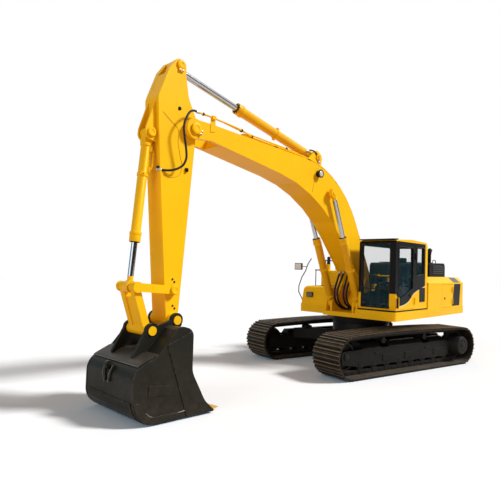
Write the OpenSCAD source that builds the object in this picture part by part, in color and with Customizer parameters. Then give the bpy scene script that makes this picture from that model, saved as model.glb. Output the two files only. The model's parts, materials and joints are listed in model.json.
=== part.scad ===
/* [Undercarriage] */
// Distance between the two track centre lines
gauge = 2590; // [2400:10:2800]
// Width of a track shoe
shoe_w = 800; // [600:10:850]
// Distance between idler and sprocket axes
wheel_dist = 4030; // [3900:10:4200]
// Track shoes in one loop
shoe_count = 48; // [46:1:50]
// Radius of the link pins on idler and sprocket
pitch_r = 367; // [360:1:375]
// Half height of a track link
link_h = 52; // [48:1:56]
// Plate thickness of a shoe
shoe_t = 14; // [10:1:20]
// Height of the shoe ridges
grouser_h = 37; // [25:1:40]
// Lift of the upper track run over the carrier rollers
top_rise = 42; // [30:1:46]
// Angle of the house to the tracks
house_yaw = 12; // [0:1:20]

/* [House] */
// Half width of the house
house_half = 1490; // [1450:5:1550]
// Underside of the revolving frame
deck_low = 1195; // [1180:5:1220]
// Top of the revolving frame at the sides
deck_top = 1400; // [1380:5:1420]
// Front edge of the deck under the cab
deck_front = 1085; // [1050:5:1120]
// Front of the counterweight
weight_front = -2340; // [-2400:5:-2300]
// Tail swing radius
tail_r = 3480; // [3400:10:3520]
// Top of the machine covers
cover_top = 2220; // [2200:5:2260]
// Top of the engine hood
hood_top = 2610; // [2560:5:2660]

/* [Cab] */
// Rear face of the cab
cab_rear = -730; // [-760:2:-700]
// Front face of the cab
cab_front = 1000; // [960:5:1020]
// Width of the cab
cab_w = 953; // [930:1:970]
// Step from the side of the house to the cab
cab_step = 30; // [20:1:50]
// Top of the cab roof
cab_top = 3109; // [3060:1:3140]
// Thickness of cab walls and door
cab_wall = 70; // [60:1:80]

/* [Boom] */
// Boom foot pin, ahead of the slew axis
foot_x = 131; // [120:1:140]
// Boom foot pin, above ground
foot_z = 1944; // [1930:1:1960]
// Pin to pin length of the boom
boom_len = 6469; // [6400:1:6500]
// Angle of the boom chord
boom_angle = 24.77; // [23:0.01:26]
// Width of the boom box
boom_w = 560; // [540:2:570]
// Plate thickness of boom and arm
plate_t = 14; // [10:1:18]

/* [Arm] */
// Pin to pin length of the arm
arm_len = 3226; // [3200:1:3250]
// Angle of the arm below level
arm_angle = 84.92; // [84:0.01:86]
// Width of the arm box
arm_w = 380; // [360:2:390]

/* [Bucket] */
// Width of the bucket at its lip
bucket_w = 1700; // [1600:10:1720]
// Thickness of the bucket shell
shell_t = 32; // [28:1:40]

/* [Hidden] */
$fn = 64;

yellow = "#f4b81a";
black = "#1d1d1f";
dark = "#3a3a3c";
steel = "#b9bcc0";
tinted = "#39444a";

// Clearances: running fit on a pin, gap under a seated piece, gap beside a moving piece
fit = 0.05;
seat_gap = 0.4;
side_gap = 8;

// Undercarriage, worked out
pitch_z = shoe_t + grouser_h + link_h;
axle_z = pitch_z + pitch_r;
shoe_pitch = (2 * wheel_dist + 2 * PI * pitch_r) / shoe_count;
arc_len = PI * pitch_r;
beam_half = 165;
beam_low = 400;
beam_top = 600;
// The beam stops short of both wheels' axles
beam_short = 515;
beam_len = wheel_dist - 2 * beam_short;
link_in = 55;
link_out = 105;
roller_r = 96;
roller_z = pitch_z + link_h + roller_r;
roller_span = 3080;
roller_count = 8;
roller_shaft = 34;
carrier_x = 760;
carrier_r = 70;
carrier_z = 2 * axle_z - pitch_z + top_rise * 0.8 - link_h - 4 - carrier_r;
ring_low = 1010;
ring_r = 600;

// Boom, arm and bucket pins in the house frame
boom_tip = [foot_x + boom_len * cos(boom_angle), foot_z + boom_len * sin(boom_angle)];
bucket_pin = [boom_tip[0] + arm_len * cos(arm_angle), boom_tip[1] - arm_len * sin(arm_angle)];
boom_half = boom_w / 2;
arm_half = arm_w / 2;
fork_in_half = arm_half + 14;
ear_in = 275;
ear_t = 55;
foot_r = 205;
nose_r = 172;
pin_r = 55;

// Cylinder pins: base and rod eye, both in the house frame
boom_base = [815, 1480];
boom_eye = [1990, 4090];
boom_cyl_y = 385;
arm_base = [2300, 4900];
tail_pin = [-1004, 357];
cyl_foot = [266, 734];
arm_eye = boom_tip + turn(tail_pin, -arm_angle);
bucket_base = boom_tip + turn(cyl_foot, -arm_angle);
link_eye = bucket_pin + [699, 538];
link_pin = [473, -136];
rocker_pin = [18, 487];

// Plane geometry

// A vector turned by an angle
function turn(v, a) = [v[0] * cos(a) - v[1] * sin(a), v[0] * sin(a) + v[1] * cos(a)];
function unit(v) = v / norm(v);
function left_of(v) = [-v[1], v[0]];
function flat(v) = [v[0], v[1]];
function heading(v) = atan2(v[1], v[0]);

// A corner of an anticlockwise outline, moved inwards by d
function moved(a, b, c, d) =
    let (n1 = left_of(unit(b - a)), n2 = left_of(unit(c - b)))
    b + (n1 + n2) * d / (1 + n1 * n2);

// Points of the arc that rounds corner b to radius r
function corner_arc(a, b, c, r) =
    let (u = unit(b - a), w = unit(c - b), side = sign(cross(u, w)))
    let (bend = acos(max(-1, min(1, u * w))), start = b - u * r * tan(bend / 2))
    let (centre = start + left_of(u) * r * side, steps = max(2, ceil(bend / 9)))
    [for (i = [0 : steps]) centre + turn(start - centre, side * bend * i / steps)];

// Outline through corners [x, y, radius], moved inwards by d
function rounded(corners, d = 0) =
    let (n = len(corners), p = [for (c = corners) flat(c)])
    let (q = [for (i = [0 : n - 1]) moved(p[(i + n - 1) % n], p[i], p[(i + 1) % n], d)])
    [for (i = [0 : n - 1])
        let (a = q[(i + n - 1) % n], b = q[i], c = q[(i + 1) % n])
        let (side = sign(cross(b - a, c - b)), r = corners[i][2] - d * side)
        each (corners[i][2] > 0 && r > 1 ? corner_arc(a, b, c, r) : [b])];

// Extrusions of an upright outline between two sides
module upright(points, y0, y1) {
    translate([0, y1, 0]) rotate([90, 0, 0]) linear_extrude(y1 - y0) polygon(points);
}

// The same outline on both sides, from y0 out to y1
module both_sides(points, y0, y1) {
    for (side = [0, 1]) mirror([0, side, 0]) upright(points, y0, y1);
}

// A bar along Y through an upright point
module crossbar(p, r, y0, y1) {
    translate([p[0], y1, p[1]]) rotate([90, 0, 0]) cylinder(h = y1 - y0, r = r);
}

// A block between two opposite corners
module block(low, high) {
    translate(low) cube(high - low);
}

// A block with walls of thickness t round a closed space
module tank(low, high, t) {
    difference() {
        block(low, high);
        block(low + [t, t, t], high - [t, t, t]);
    }
}

// Frames of the moving groups
module on_tracks() {
    rotate([0, 0, -house_yaw]) children();
}
module each_track() {
    on_tracks() for (side = [-1, 1]) translate([0, side * gauge / 2, 0]) mirror([0, side < 0 ? 1 : 0, 0])
        children();
}
module on_boom() {
    translate([foot_x, 0, foot_z]) rotate([0, -boom_angle, 0]) children();
}
module on_arm() {
    translate([boom_tip[0], 0, boom_tip[1]]) rotate([0, arm_angle, 0]) children();
}
module on_bucket() {
    translate([bucket_pin[0], 0, bucket_pin[1]]) children();
}

// Undercarriage

// Point and direction on the link pin line at distance s, from the rear end of the lower run
function track_at(s) =
    s < wheel_dist ? [[s - wheel_dist / 2, pitch_z], 0]
    : s < wheel_dist + arc_len ?
        let (a = (s - wheel_dist) / arc_len * 180)
        [[wheel_dist / 2 + pitch_r * sin(a), axle_z - pitch_r * cos(a)], a]
    : s < 2 * wheel_dist + arc_len ?
        let (u = (s - wheel_dist - arc_len) / wheel_dist)
        [[wheel_dist / 2 - u * wheel_dist, axle_z + pitch_r + top_rise * sin(180 * u)], 180]
    : let (a = 180 + (s - 2 * wheel_dist - arc_len) / arc_len * 180)
        [[-wheel_dist / 2 + pitch_r * sin(a), axle_z - pitch_r * cos(a)], a];

// A point beside the link pin line: t along it, n outwards
function beside(s, t, n) = let (at = track_at(s)) at[0] + turn([t, -n], at[1]);

// One shoe's ridges: valley, then the two edges of the ridge
ridge_step = shoe_pitch / 3;
ridge_half = 9;
shoe_outline = [for (k = [-1 : 1], e = [[-ridge_step / 2 + 4, 0], [-ridge_half, 1], [ridge_half, 1]])
    [k * ridge_step + e[0], link_h + shoe_t + e[1] * grouser_h]];
track_outer = [for (i = [0 : shoe_count - 1], e = shoe_outline) beside(i * shoe_pitch, e[0], e[1])];

// Distances along the loop where a smooth band needs a point
bend_steps = 12;
band_marks = [
    0,
    for (i = [0 : bend_steps]) wheel_dist + arc_len * i / bend_steps,
    for (i = [1 : 5]) wheel_dist + arc_len + wheel_dist * i / 6,
    for (i = [0 : bend_steps - 1]) 2 * wheel_dist + arc_len + arc_len * i / bend_steps
];
function band(n) = [for (s = band_marks) beside(s, 0, n)];

module track_loop() {
    difference() {
        upright(track_outer, -shoe_w / 2, shoe_w / 2);
        upright(band(link_h), -shoe_w, shoe_w);
    }
    both_sides_links();
}
module both_sides_links() {
    for (side = [0, 1]) mirror([0, side, 0]) difference() {
        upright(band(link_h + 4), link_in, link_out);
        upright(band(-link_h), 0, shoe_w);
    }
}
module one_track(side) {
    color(dark) on_tracks() translate([0, side * gauge / 2, 0]) track_loop();
}

// Long side plates that guard the rollers and hold the idler
guard_low = 225;
guard_in = 137;
guard_rear = -1700;
guard_front = wheel_dist / 2 + 140;
guard_plate = [
    [guard_rear, guard_low + 60, 50], [guard_rear + 140, guard_low, 60], [1600, guard_low, 200],
    [guard_front, axle_z - 160, 70], [guard_front, axle_z + 115, 70], [1500, beam_top, 60],
    [guard_rear, beam_top, 60]
];
// Sloped caps on the beam, from end to end of each free stretch beside the carrier rollers
cap_half = 60;
cap_top = 715;
cap_gap = 140;
cap_ends = [
    [-beam_len / 2, -carrier_x - cap_gap], [-carrier_x + cap_gap, carrier_x - cap_gap],
    [carrier_x + cap_gap, beam_len / 2]
];
idler_pin = 45;
drive_hub = 150;
fork_in = 118;
module track_frame(side) {
    color(black) on_tracks() translate([0, side * gauge / 2, 0]) mirror([0, side < 0 ? 1 : 0, 0])
        difference() {
        union() {
            block([-beam_len / 2, -beam_half, beam_low], [beam_len / 2, beam_half, beam_top]);
            for (e = cap_ends) translate([e[0], 0, 0]) rotate([90, 0, 90]) linear_extrude(e[1] - e[0])
                polygon([
                [-beam_half, beam_top - 1], [beam_half, beam_top - 1], [cap_half, cap_top],
                [-cap_half, cap_top]
            ]);
            both_sides(rounded(guard_plate), guard_in, beam_half);
            upright(rounded([
                [-wheel_dist / 2 - 185, axle_z - 140, 130], [-1400, beam_low + 20, 20], [-1400, beam_top, 20],
                [-wheel_dist / 2 - 185, axle_z + 190, 150]
            ]), -beam_half, -fork_in);
        }
        crossbar([wheel_dist / 2, axle_z], idler_pin + fit, -beam_half - 10, beam_half + 10);
        crossbar([-wheel_dist / 2, axle_z], drive_hub + fit, -beam_half - 10, beam_half + 10);
        for (i = [0 : roller_count - 1])
            crossbar([roller_x(i), roller_z], roller_shaft + fit, -beam_half - 10, beam_half + 10);
    }
}
function roller_x(i) = roller_span * (i / (roller_count - 1) - 0.5);

// A turned piece on the Y axis from half profile [radius, y] points
module turned(p, profile) {
    translate([p[0], 0, p[1]]) rotate([-90, 0, 0]) rotate_extrude() polygon(profile);
}

module idlers() {
    tread = pitch_r - link_h - 6;
    color(dark) each_track() {
        difference() {
            turned([wheel_dist / 2, axle_z], [
                [idler_pin + fit, -110], [tread, -110], [tread, -48], [tread + 22, -40], [tread + 22, 40],
                [tread, 48],
                [tread, 110], [idler_pin + fit, 110]
            ]);
            for (side = [0, 1]) mirror([0, side, 0])
                turned([wheel_dist / 2, axle_z], [[120, 60], [tread - 45, 60], [tread - 45, 120],
                    [120, 120]]);
        }
        crossbar([wheel_dist / 2, axle_z], idler_pin, -beam_half - 4, beam_half + 4);
    }
}

sprocket_teeth = 21;
drive_r = 255;
drive_out = 372;
module sprockets() {
    root = pitch_r - 30;
    tip = pitch_r + 12;
    color(dark) each_track() {
        centre = [-wheel_dist / 2, axle_z];
        ring = [for (i = [0 : sprocket_teeth - 1], e = [[-0.36, root], [-0.14, tip], [0.14, tip],
            [0.36, root]])
            centre + turn([e[1], 0], (i + e[0]) * 360 / sprocket_teeth)];
        upright(ring, -38, 38);
        turned(centre, [
            [0, -fork_in], [drive_r, -fork_in], [drive_r, 120], [drive_r - 20, 150],
            [drive_r - 20, drive_out - 42],
            [drive_r - 50, drive_out], [0, drive_out]
        ]);
        crossbar(centre, drive_hub, -420, -fork_in);
    }
}

module track_rollers() {
    flange = roller_r + 20;
    color(dark) each_track() for (i = [0 : roller_count - 1]) {
        turned([roller_x(i), roller_z], [
            [0, -128], [flange, -128], [flange, -110], [roller_r, -110], [roller_r, -50],
            [roller_r - 14, -44],
            [roller_r - 14, 44], [roller_r, 50], [roller_r, 110], [flange, 110], [flange, 128], [0, 128]
        ]);
        crossbar([roller_x(i), roller_z], roller_shaft, -beam_half - 4, beam_half + 4);
    }
}

module carrier_rollers() {
    color(dark) each_track() for (x = [-carrier_x, carrier_x]) {
        turned([x, carrier_z], [
            [0, -112], [carrier_r, -112], [carrier_r, -50], [carrier_r - 10, -44], [carrier_r - 10, 44],
            [carrier_r, 50], [carrier_r, 112], [0, 112]
        ]);
        crossbar([x, carrier_z], 34, -150, 0);
        translate([x - 60, -beam_half, beam_top]) cube([120, 40, carrier_z - beam_top + 45]);
    }
}

// Tow lug on the front of the carbody
tow_x = 840;
tow_eye = 35;
module carbody() {
    leg_x = 1150;
    leg_w = 420;
    reach = gauge / 2 - beam_half;
    color(black) on_tracks() {
        difference() {
            union() {
                translate([0, 0, 500]) linear_extrude(260) for (side = [-1, 1], end = [-1, 1]) polygon([
                    [0, 0], [end * (leg_x - leg_w / 2), side * reach],
                    [end * (leg_x + leg_w / 2), side * reach],
                    [end * leg_w, 0]
                ]);
                translate([0, 0, 500]) cylinder(h = 500, r = 720);
                translate([0, 0, 480]) cylinder(h = 640, r = ring_r);
                block([600, -90, 540], [tow_x + 90, 90, 600]);
            }
            translate([0, 0, 440]) cylinder(h = 900, r = 330);
            translate([tow_x, 0, 500]) cylinder(h = 140, r = tow_eye);
        }
    }
}

module swing_bearing() {
    color(dark) difference() {
        translate([0, 0, ring_low]) cylinder(h = deck_low - ring_low, r = 740);
        translate([0, 0, ring_low - 5]) cylinder(h = 300, r = ring_r + fit);
    }
}

// House

channel_half = 470;
channel_floor = 1300;
cheek_in = boom_half + 10;
cheek_t = 50;
deck_t = 20;
// How far the lower skirt stands out from the side panels
skirt = 16;
deck_half = house_half + skirt;
box_front = 750;
deck_plan = [
    [weight_front, -deck_half, 0], [box_front - 110, -deck_half, 110], [box_front + 40, -deck_half + 120, 70],
    [box_front + 40, -channel_half, 0], [deck_front, -channel_half, 30], [deck_front, deck_half, 90],
    [weight_front, deck_half, 0]
];

// Side cheek that carries the boom foot and the boom cylinders
cheek = [
    [-1100, channel_floor - 20, 0], [930, channel_floor - 20, 0], [930, boom_base[1] + 115, 110],
    [700, boom_base[1] + 115, 60], [foot_x + 225, foot_z + 215, 225], [foot_x - 225, foot_z + 215, 225],
    [-760, 1420, 200], [-1100, 1420, 20]
];

module revolving_frame() {
    color(yellow) difference() {
        union() {
            difference() {
                translate([0, 0, deck_low]) linear_extrude(deck_top - deck_low) polygon(rounded(deck_plan));
                translate([0, 0, deck_low + deck_t]) linear_extrude(deck_top - deck_low - 2 * deck_t)
                    polygon(rounded(deck_plan, 40));
                block([-560, -channel_half, channel_floor], [deck_front + 50, channel_half, deck_top + 5]);
            }
            block([-560, -channel_half - 20, channel_floor - deck_t],
                [deck_front - 40, channel_half + 20, channel_floor]);
            both_sides(rounded(cheek), cheek_in, cheek_in + cheek_t);
            for (side = [0, 1]) mirror([0, side, 0])
                upright(rounded([
                    [640, channel_floor - 20, 0], [990, channel_floor - 20, 0],
                    [930, boom_base[1] + 115, 110],
                    [700, boom_base[1] + 115, 110]
                ]), boom_cyl_y + 50, boom_cyl_y + 80);
        }
        translate([0, 0, deck_low - 5]) cylinder(h = deck_t + 10, r = 480);
        crossbar([foot_x, foot_z], pin_r, -cheek_in - cheek_t - 5, cheek_in + cheek_t + 5);
        crossbar(boom_base, pin_r, -boom_cyl_y - 90, boom_cyl_y + 90);
    }
    color(steel) crossbar([foot_x, foot_z], pin_r, -cheek_in - cheek_t - 25, cheek_in + cheek_t + 25);
    color(steel) for (side = [0, 1]) mirror([0, side, 0])
        crossbar(boom_base, pin_r, cheek_in, boom_cyl_y + 95);
}

// Cross section of the house: skirt, side and sloped shoulder
slope_low = 2060;
slope_in = house_half - 190;
house_section = [
    [deck_half, deck_low], [deck_half, deck_top], [house_half, deck_top], [house_half, slope_low],
    [slope_in, cover_top - 4]
];
weight_wall = 60;
module counterweight() {
    color(yellow) difference() {
        union() {
            weight_block();
            for (side = [-1, 1]) translate([0, side * lug_y, 0]) lifting_lug();
        }
        intersection() {
            translate([0, 0, deck_low + weight_wall])
                cylinder(h = cover_top - deck_low - 2 * weight_wall, r = tail_r - weight_wall);
            block([-tail_r, -house_half + weight_wall, deck_top - 20],
                [weight_front - weight_wall, house_half - weight_wall, slope_low - 20]);
        }
        crossbar([lug_x, cover_top + 45], lug_eye, -lug_y - lug_t, lug_y + lug_t);
    }
    color(black) for (side = [0, 1], z = panel_hinges) mirror([0, side, 0])
        hinge_lugs([weight_front + 12, house_half + hinge_off, z]);
}
module weight_block() {
    half = [for (p = house_section) [-p[0], p[1]]];
    intersection() {
        translate([0, 0, deck_low]) cylinder(h = cover_top - deck_low, r = tail_r);
        translate([-tail_r, 0, 0]) rotate([90, 0, 90]) linear_extrude(tail_r + weight_front)
            polygon([each house_section, for (i = [len(half) - 1 : -1 : 0]) half[i]]);
        upright(rounded([
            [weight_front, deck_low, 0], [weight_front, cover_top, 0], [-tail_r, cover_top, 0],
            [-tail_r, deck_low + 60, 0], [-tail_r + 240, deck_low, 250]
        ]), -deck_half, deck_half);
    }
}

// Lifting lugs on the counterweight, with their eye
lug_x = -2800;
lug_y = 900;
lug_t = 50;
lug_eye = 32;
module lifting_lug() {
    upright(rounded([
        [lug_x - 130, cover_top - 24, 0], [lug_x + 130, cover_top - 24, 0], [lug_x + 70, cover_top + 110, 65],
        [lug_x - 70, cover_top + 110, 65]
    ]), -lug_t / 2, lug_t / 2);
}

module engine() {
    color(dark) {
        tank([-2150, -650, deck_top], [-1350, 650, 2060], 40);
    }
}

// Hinges with an upright pin: the fixed lugs and pin, and the knuckle with its leaf
hinge_r = 16;
hinge_pin = 9;
hinge_h = 150;
hinge_lug = 25;
hinge_off = hinge_r + 2;
module hinge_lugs(at) {
    translate(at) {
        for (z = [0, hinge_h - hinge_lug]) translate([0, 0, z]) {
            cylinder(h = hinge_lug, r = hinge_r);
            block([-70, -hinge_off, 0], [0, -hinge_off + 12, hinge_lug]);
            block([-20, -hinge_off, 0], [0, 0, hinge_lug]);
        }
        cylinder(h = hinge_h, r = hinge_pin);
    }
}
module hinge_knuckle(at) {
    translate(at + [0, 0, hinge_lug + 2]) difference() {
        union() {
            cylinder(h = hinge_h - 2 * hinge_lug - 4, r = hinge_r);
            block([0, -hinge_off, 0], [70, -hinge_off + 12, hinge_h - 2 * hinge_lug - 4]);
            block([0, -hinge_off, 0], [20, 0, hinge_h - 2 * hinge_lug - 4]);
        }
        translate([0, 0, -5]) cylinder(h = hinge_h, r = hinge_pin + fit);
    }
}

cover_t = 24;
tank_front = -270;
tank_rear = -1250;
tank_top = 2320;
tank_in = 520;
hood_front = -1500;
hood_rear = -2560;
hood_right = -house_half + 870;
hood_left = house_half - 300;
module machine_covers() {
    skin = [
        [house_half, slope_low], [slope_in, cover_top], [-slope_in, cover_top], [-house_half, slope_low],
        [-house_half, slope_low - 30], [-slope_in + 6, cover_top - cover_t],
        [slope_in - 6, cover_top - cover_t],
        [house_half, slope_low - 30]
    ];
    color(yellow) difference() {
        translate([weight_front + 8, 0, 0]) rotate([90, 0, 90])
            linear_extrude(cab_rear - weight_front - 20) polygon(skin);
        block([weight_front - 10, hood_right + 60, cover_top - 60],
            [hood_front - 60, hood_left - 60, cover_top + 60]);
        block([tank_rear - 1, -house_half - 10, deck_top], [0, -tank_in + 60, cover_top + 50]);
    }
    color(black) for (y = hood_hinges) hood_lugs(y);
}

// Hood hinges along the front edge: pins on the covers, knuckles on the hood
hood_pin = [hood_front + hinge_off, cover_top + hinge_off];
hood_hinges = [-420, 840];
module hood_lugs(y) {
    for (side = [0, hinge_h - hinge_lug]) {
        crossbar(hood_pin, hinge_r, y + side, y + side + hinge_lug);
        block([hood_pin[0] - 8, y + side, cover_top], [hood_pin[0] + 60, y + side + hinge_lug, hood_pin[1]]);
    }
    crossbar(hood_pin, hinge_pin, y, y + hinge_h);
}
module hood_knuckle(y) {
    low = y + hinge_lug + 2;
    high = y + hinge_h - hinge_lug - 2;
    difference() {
        union() {
            crossbar(hood_pin, hinge_r, low, high);
            block([hood_front, low, hood_pin[1] - 8], [hood_pin[0], high, hood_pin[1] + 60]);
        }
        crossbar(hood_pin, hinge_pin + fit, low - 5, high + 5);
    }
}
module engine_hood() {
    profile = [
        [hood_rear, cover_top + 2, 0], [hood_front, cover_top + 2, 0], [hood_front, hood_top - 20, 120],
        [hood_rear, hood_top, 120]
    ];
    color(black) difference() {
        upright(rounded(profile), hood_right, hood_left);
        upright(rounded([
            [hood_rear + 25, cover_top - 20, 0], [hood_front - 25, cover_top - 20, 0],
            [hood_front - 25, hood_top - 45, 100],
            [hood_rear + 25, hood_top - 25, 100]
        ]), hood_right + 25, hood_left - 25);
    }
    color(black) for (y = hood_hinges) hood_knuckle(y);
}

// Exhaust stack: a pipe through the hood and its bent tip
stack_x = -2060;
stack_y = 930;
stack_r = 60;
stack_h = 240;
stack_wall = 9;
bend_r = 150;
bend_wide = 4;
module stack_bend(r, angle) {
    translate([-bend_r, 0, hood_top + stack_h - 8]) rotate([90, 0, 0])
        rotate_extrude(angle = angle) translate([bend_r, 0]) circle(r);
}
module exhaust() {
    color(black) translate([stack_x, stack_y, 0]) difference() {
        union() {
            translate([0, 0, hood_top - 8]) cylinder(h = stack_h + 10, r = stack_r);
            stack_bend(stack_r + bend_wide, 60);
        }
        translate([0, 0, hood_top + 4]) cylinder(h = stack_h - 8, r = stack_r - stack_wall);
        stack_bend(stack_r + bend_wide - stack_wall, 61);
    }
}

panel_t = 45;
seam_x = -1618;
module side_panels() {
    color(yellow) {
        block([seam_x, house_half - panel_t, deck_top], [cab_rear - 12, house_half, slope_low - 30]);
        block([-1600, -house_half, deck_top], [-1260, -house_half + panel_t, slope_low - 30]);
        block([cab_rear - 12 - panel_t, cheek_in + cheek_t + side_gap, deck_top],
            [cab_rear - 12, slope_in - 20, cover_top - 60]);
    }
}
door_gap = 6;
panel_hinges = [1480, 1800];
module service_door() {
    color(yellow) block(
        [weight_front + 12, house_half - panel_t, deck_top + door_gap],
        [seam_x - door_gap, house_half, slope_low - 30 - door_gap]);
    color(black) for (z = panel_hinges) hinge_knuckle([weight_front + 12, house_half + hinge_off, z]);
}
module pump_door() {
    color(yellow) block(
        [weight_front + 12, -house_half, deck_top + door_gap],
        [-1600 - door_gap, -house_half + panel_t, slope_low - 30 - door_gap]);
    color(black) mirror([0, 1, 0]) for (z = panel_hinges)
        hinge_knuckle([weight_front + 12, house_half + hinge_off, z]);
}

module fuel_tank() {
    color(yellow) difference() {
        union() {
            upright(rounded([
                [tank_rear, deck_top, 0], [tank_front, deck_top, 0], [tank_front, tank_top, 70],
                [tank_rear, tank_top, 70]
            ]), -house_half + 8, -tank_in);
            translate([-620, -1150, tank_top - 5]) cylinder(h = 70, r = 75);
        }
        block([tank_rear + 14, -house_half + 22, deck_top + 14],
            [tank_front - 14, -tank_in - 14, tank_top - 40]);
    }
}
box_top = 1890;
box_wall = 14;
box_out = house_half - 90;
box_lean = 60;
module toolbox() {
    color(yellow) difference() {
        box_form(0);
        box_form(box_wall);
    }
}
// The toolbox's rounded form, moved inwards by d
module box_form(d) {
    intersection() {
        upright(rounded([
            [tank_front, deck_top, 0], [box_front, deck_top, 0], [box_front - box_lean, box_top, 140],
            [tank_front, box_top, 0]
        ], d), -box_out, -channel_half);
        translate([tank_front, 0, 0]) rotate([90, 0, 90]) linear_extrude(box_front - tank_front)
            polygon(rounded([
            [-box_out, deck_top, 0], [-channel_half - 10, deck_top, 0], [-channel_half - 10, box_top, 60],
            [-box_out + 40, box_top, 110]
        ], d));
    }
}

// Cab

cab_out = house_half - cab_step;
cab_in = cab_out - cab_w;
cab_low = deck_top;
roof_front = cab_top - 39;
roof_peak = 200;
front_lean = 20;
cab_outline = [
    [cab_rear, cab_low, 0], [cab_front - 30, cab_low, 0], [cab_front, cab_low + 140, 120],
    [cab_front - front_lean, roof_front, 90], [roof_peak, cab_top, 900], [cab_rear, cab_top - 30, 130]
];
door_rear = 10;
door_front = cab_front - 80;
door_low = cab_low + 60;
door_top = roof_front - 75;
door_outline = [
    [door_rear, door_low, 30], [door_front, door_low, 60], [door_front - 16, door_top, 90],
    [door_rear, door_top, 60]
];
cab_hinges = [1560, 2640];
// Window frames: width of the rails round a pane
rail_w = 80;
door_window = [
    [door_rear + rail_w, 1930, 60], [door_front - rail_w, 1640, 90],
    [door_front - rail_w - 10, door_top - rail_w, 60],
    [door_rear + rail_w, door_top - rail_w, 60]
];
pillar_w = 210;
side_window = [
    [cab_rear + pillar_w, 2290, 40], [door_rear - 130, 2230, 40], [door_rear - 130, door_top - 50, 40],
    [cab_rear + pillar_w, door_top - 50, 40]
];
right_window = [
    [cab_rear + 150, 1950, 60], [door_front - 40, 1750, 60], [door_front - 50, door_top - 40, 60],
    [cab_rear + 150, door_top - 40, 60]
];
front_in = 65;
front_out = 150;
front_low = 1475;
front_high = roof_front - 70;
rear_side = 110;
rear_low = 2150;
rear_high = cab_top - 160;
module cab_frame() {
    color(yellow) difference() {
        upright(rounded(cab_outline), cab_in, cab_out);
        upright(rounded(cab_outline, cab_wall), cab_in + cab_wall, cab_out - cab_wall);
        upright(rounded(door_outline, -door_gap), cab_out - cab_wall - 5, cab_out + 10);
        upright(rounded(side_window), cab_out - cab_wall - 5, cab_out + 10);
        upright(rounded(right_window), cab_in - 10, cab_in + cab_wall + 5);
        block([cab_front - 200, cab_in + front_in, front_low],
            [cab_front + 50, cab_out - front_out, front_high]);
        block([cab_rear - 10, cab_in + rear_side, rear_low],
            [cab_rear + cab_wall + 5, cab_out - rear_side, rear_high]);
    }
    color(black) for (z = cab_hinges) hinge_lugs([door_rear, cab_out + hinge_off, z]);
}

// Panes lie this far inside the outer face
pane_in = 30;
glass_t = 8;
module cab_glass() {
    color(tinted) {
        upright(rounded(side_window), cab_out - pane_in - glass_t, cab_out - pane_in);
        upright(rounded(right_window), cab_in + pane_in, cab_in + pane_in + glass_t);
        intersection() {
            difference() {
                upright(rounded(cab_outline, pane_in), cab_in + front_in, cab_out - front_out);
                upright(rounded(cab_outline, pane_in + glass_t), cab_in, cab_out);
            }
            block([cab_front - 200, cab_in, front_low], [cab_front + 50, cab_out, front_high]);
        }
        block([cab_rear + pane_in, cab_in + rear_side, rear_low],
            [cab_rear + pane_in + glass_t, cab_out - rear_side, rear_high]);
    }
}
module cab_door() {
    color(black) {
        difference() {
            upright(rounded(door_outline), cab_out - cab_wall, cab_out);
            upright(rounded(door_window), cab_out - cab_wall - 5, cab_out + 5);
        }
        for (z = cab_hinges) hinge_knuckle([door_rear, cab_out + hinge_off, z]);
    }
}
module door_glass() {
    color(tinted) upright(rounded(door_window), cab_out - pane_in - glass_t, cab_out - pane_in);
}

// Sun visor on the roof's front edge, and the air vent low on the cab's side
visor_t = 26;
visor_back = cab_front - 160;
visor_front = cab_front + 55;
vent_low = 1600;
vent_high = 1950;
vent_rear = -575;
vent_front = -275;
vent_t = 14;
vent_rim = 24;
slat_count = 7;
// Height of the roof's straight front slope at a place along the cab
function roof_at(x) =
    roof_front + (cab_front - front_lean - x) * (cab_top - roof_front) / (cab_front - front_lean - roof_peak);
module cab_trim() {
    low = vent_low + vent_rim;
    step = (vent_high - vent_rim - low) / slat_count;
    color(black) {
        upright([
            [visor_back, roof_at(visor_back) + seat_gap], [visor_front, roof_at(visor_front) + seat_gap],
            [visor_front, roof_at(visor_front) + visor_t], [visor_back, roof_at(visor_back) + visor_t]
        ], cab_in + 30, cab_out - 20);
        translate([0, cab_out + seat_gap, 0]) difference() {
            block([vent_rear, 0, vent_low], [vent_front, vent_t, vent_high]);
            for (i = [0 : slat_count - 1])
                block([vent_rear + vent_rim, vent_t / 2, low + i * step],
                    [vent_front - vent_rim, vent_t + 5, low + (i + 0.6) * step]);
        }
    }
}

seat_x = 60;
seat_y = cab_in + cab_w / 2;
module operator_seat() {
    color(dark) {
        upright(rounded([
            [seat_x - 300, 1820, 40], [seat_x + 260, 1840, 60], [seat_x + 260, 1980, 60],
            [seat_x - 150, 1950, 40],
            [seat_x - 260, 2560, 60], [seat_x - 400, 2540, 60]
        ]), seat_y - 250, seat_y + 250);
        block([seat_x - 220, seat_y - 180, cab_low + cab_wall], [seat_x + 180, seat_y + 180, 1825]);
    }
}
module cab_controls() {
    color(black) for (side = [-1, 1]) {
        y = seat_y + side * 325;
        block([seat_x - 200, y - 50, cab_low + cab_wall], [seat_x + 330, y + 50, 1960]);
        translate([seat_x + 260, y, 1955]) cylinder(h = 190, r = 18);
        translate([seat_x + 260, y, 2110]) cylinder(h = 90, r = 30);
        translate([seat_x + 560, seat_y + side * 120, cab_low + cab_wall]) cylinder(h = 520, r = 14);
    }
}

rail_r = 15;
// Posts are thinner than the bars they carry
bar_step = 3;
rail_h = 285;
box_rail_h = 430;
grab_r = 13;
grab_x = cab_front - 42;
grab_low = 1520;
grab_high = 1830;
grab_out = 48;
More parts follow.
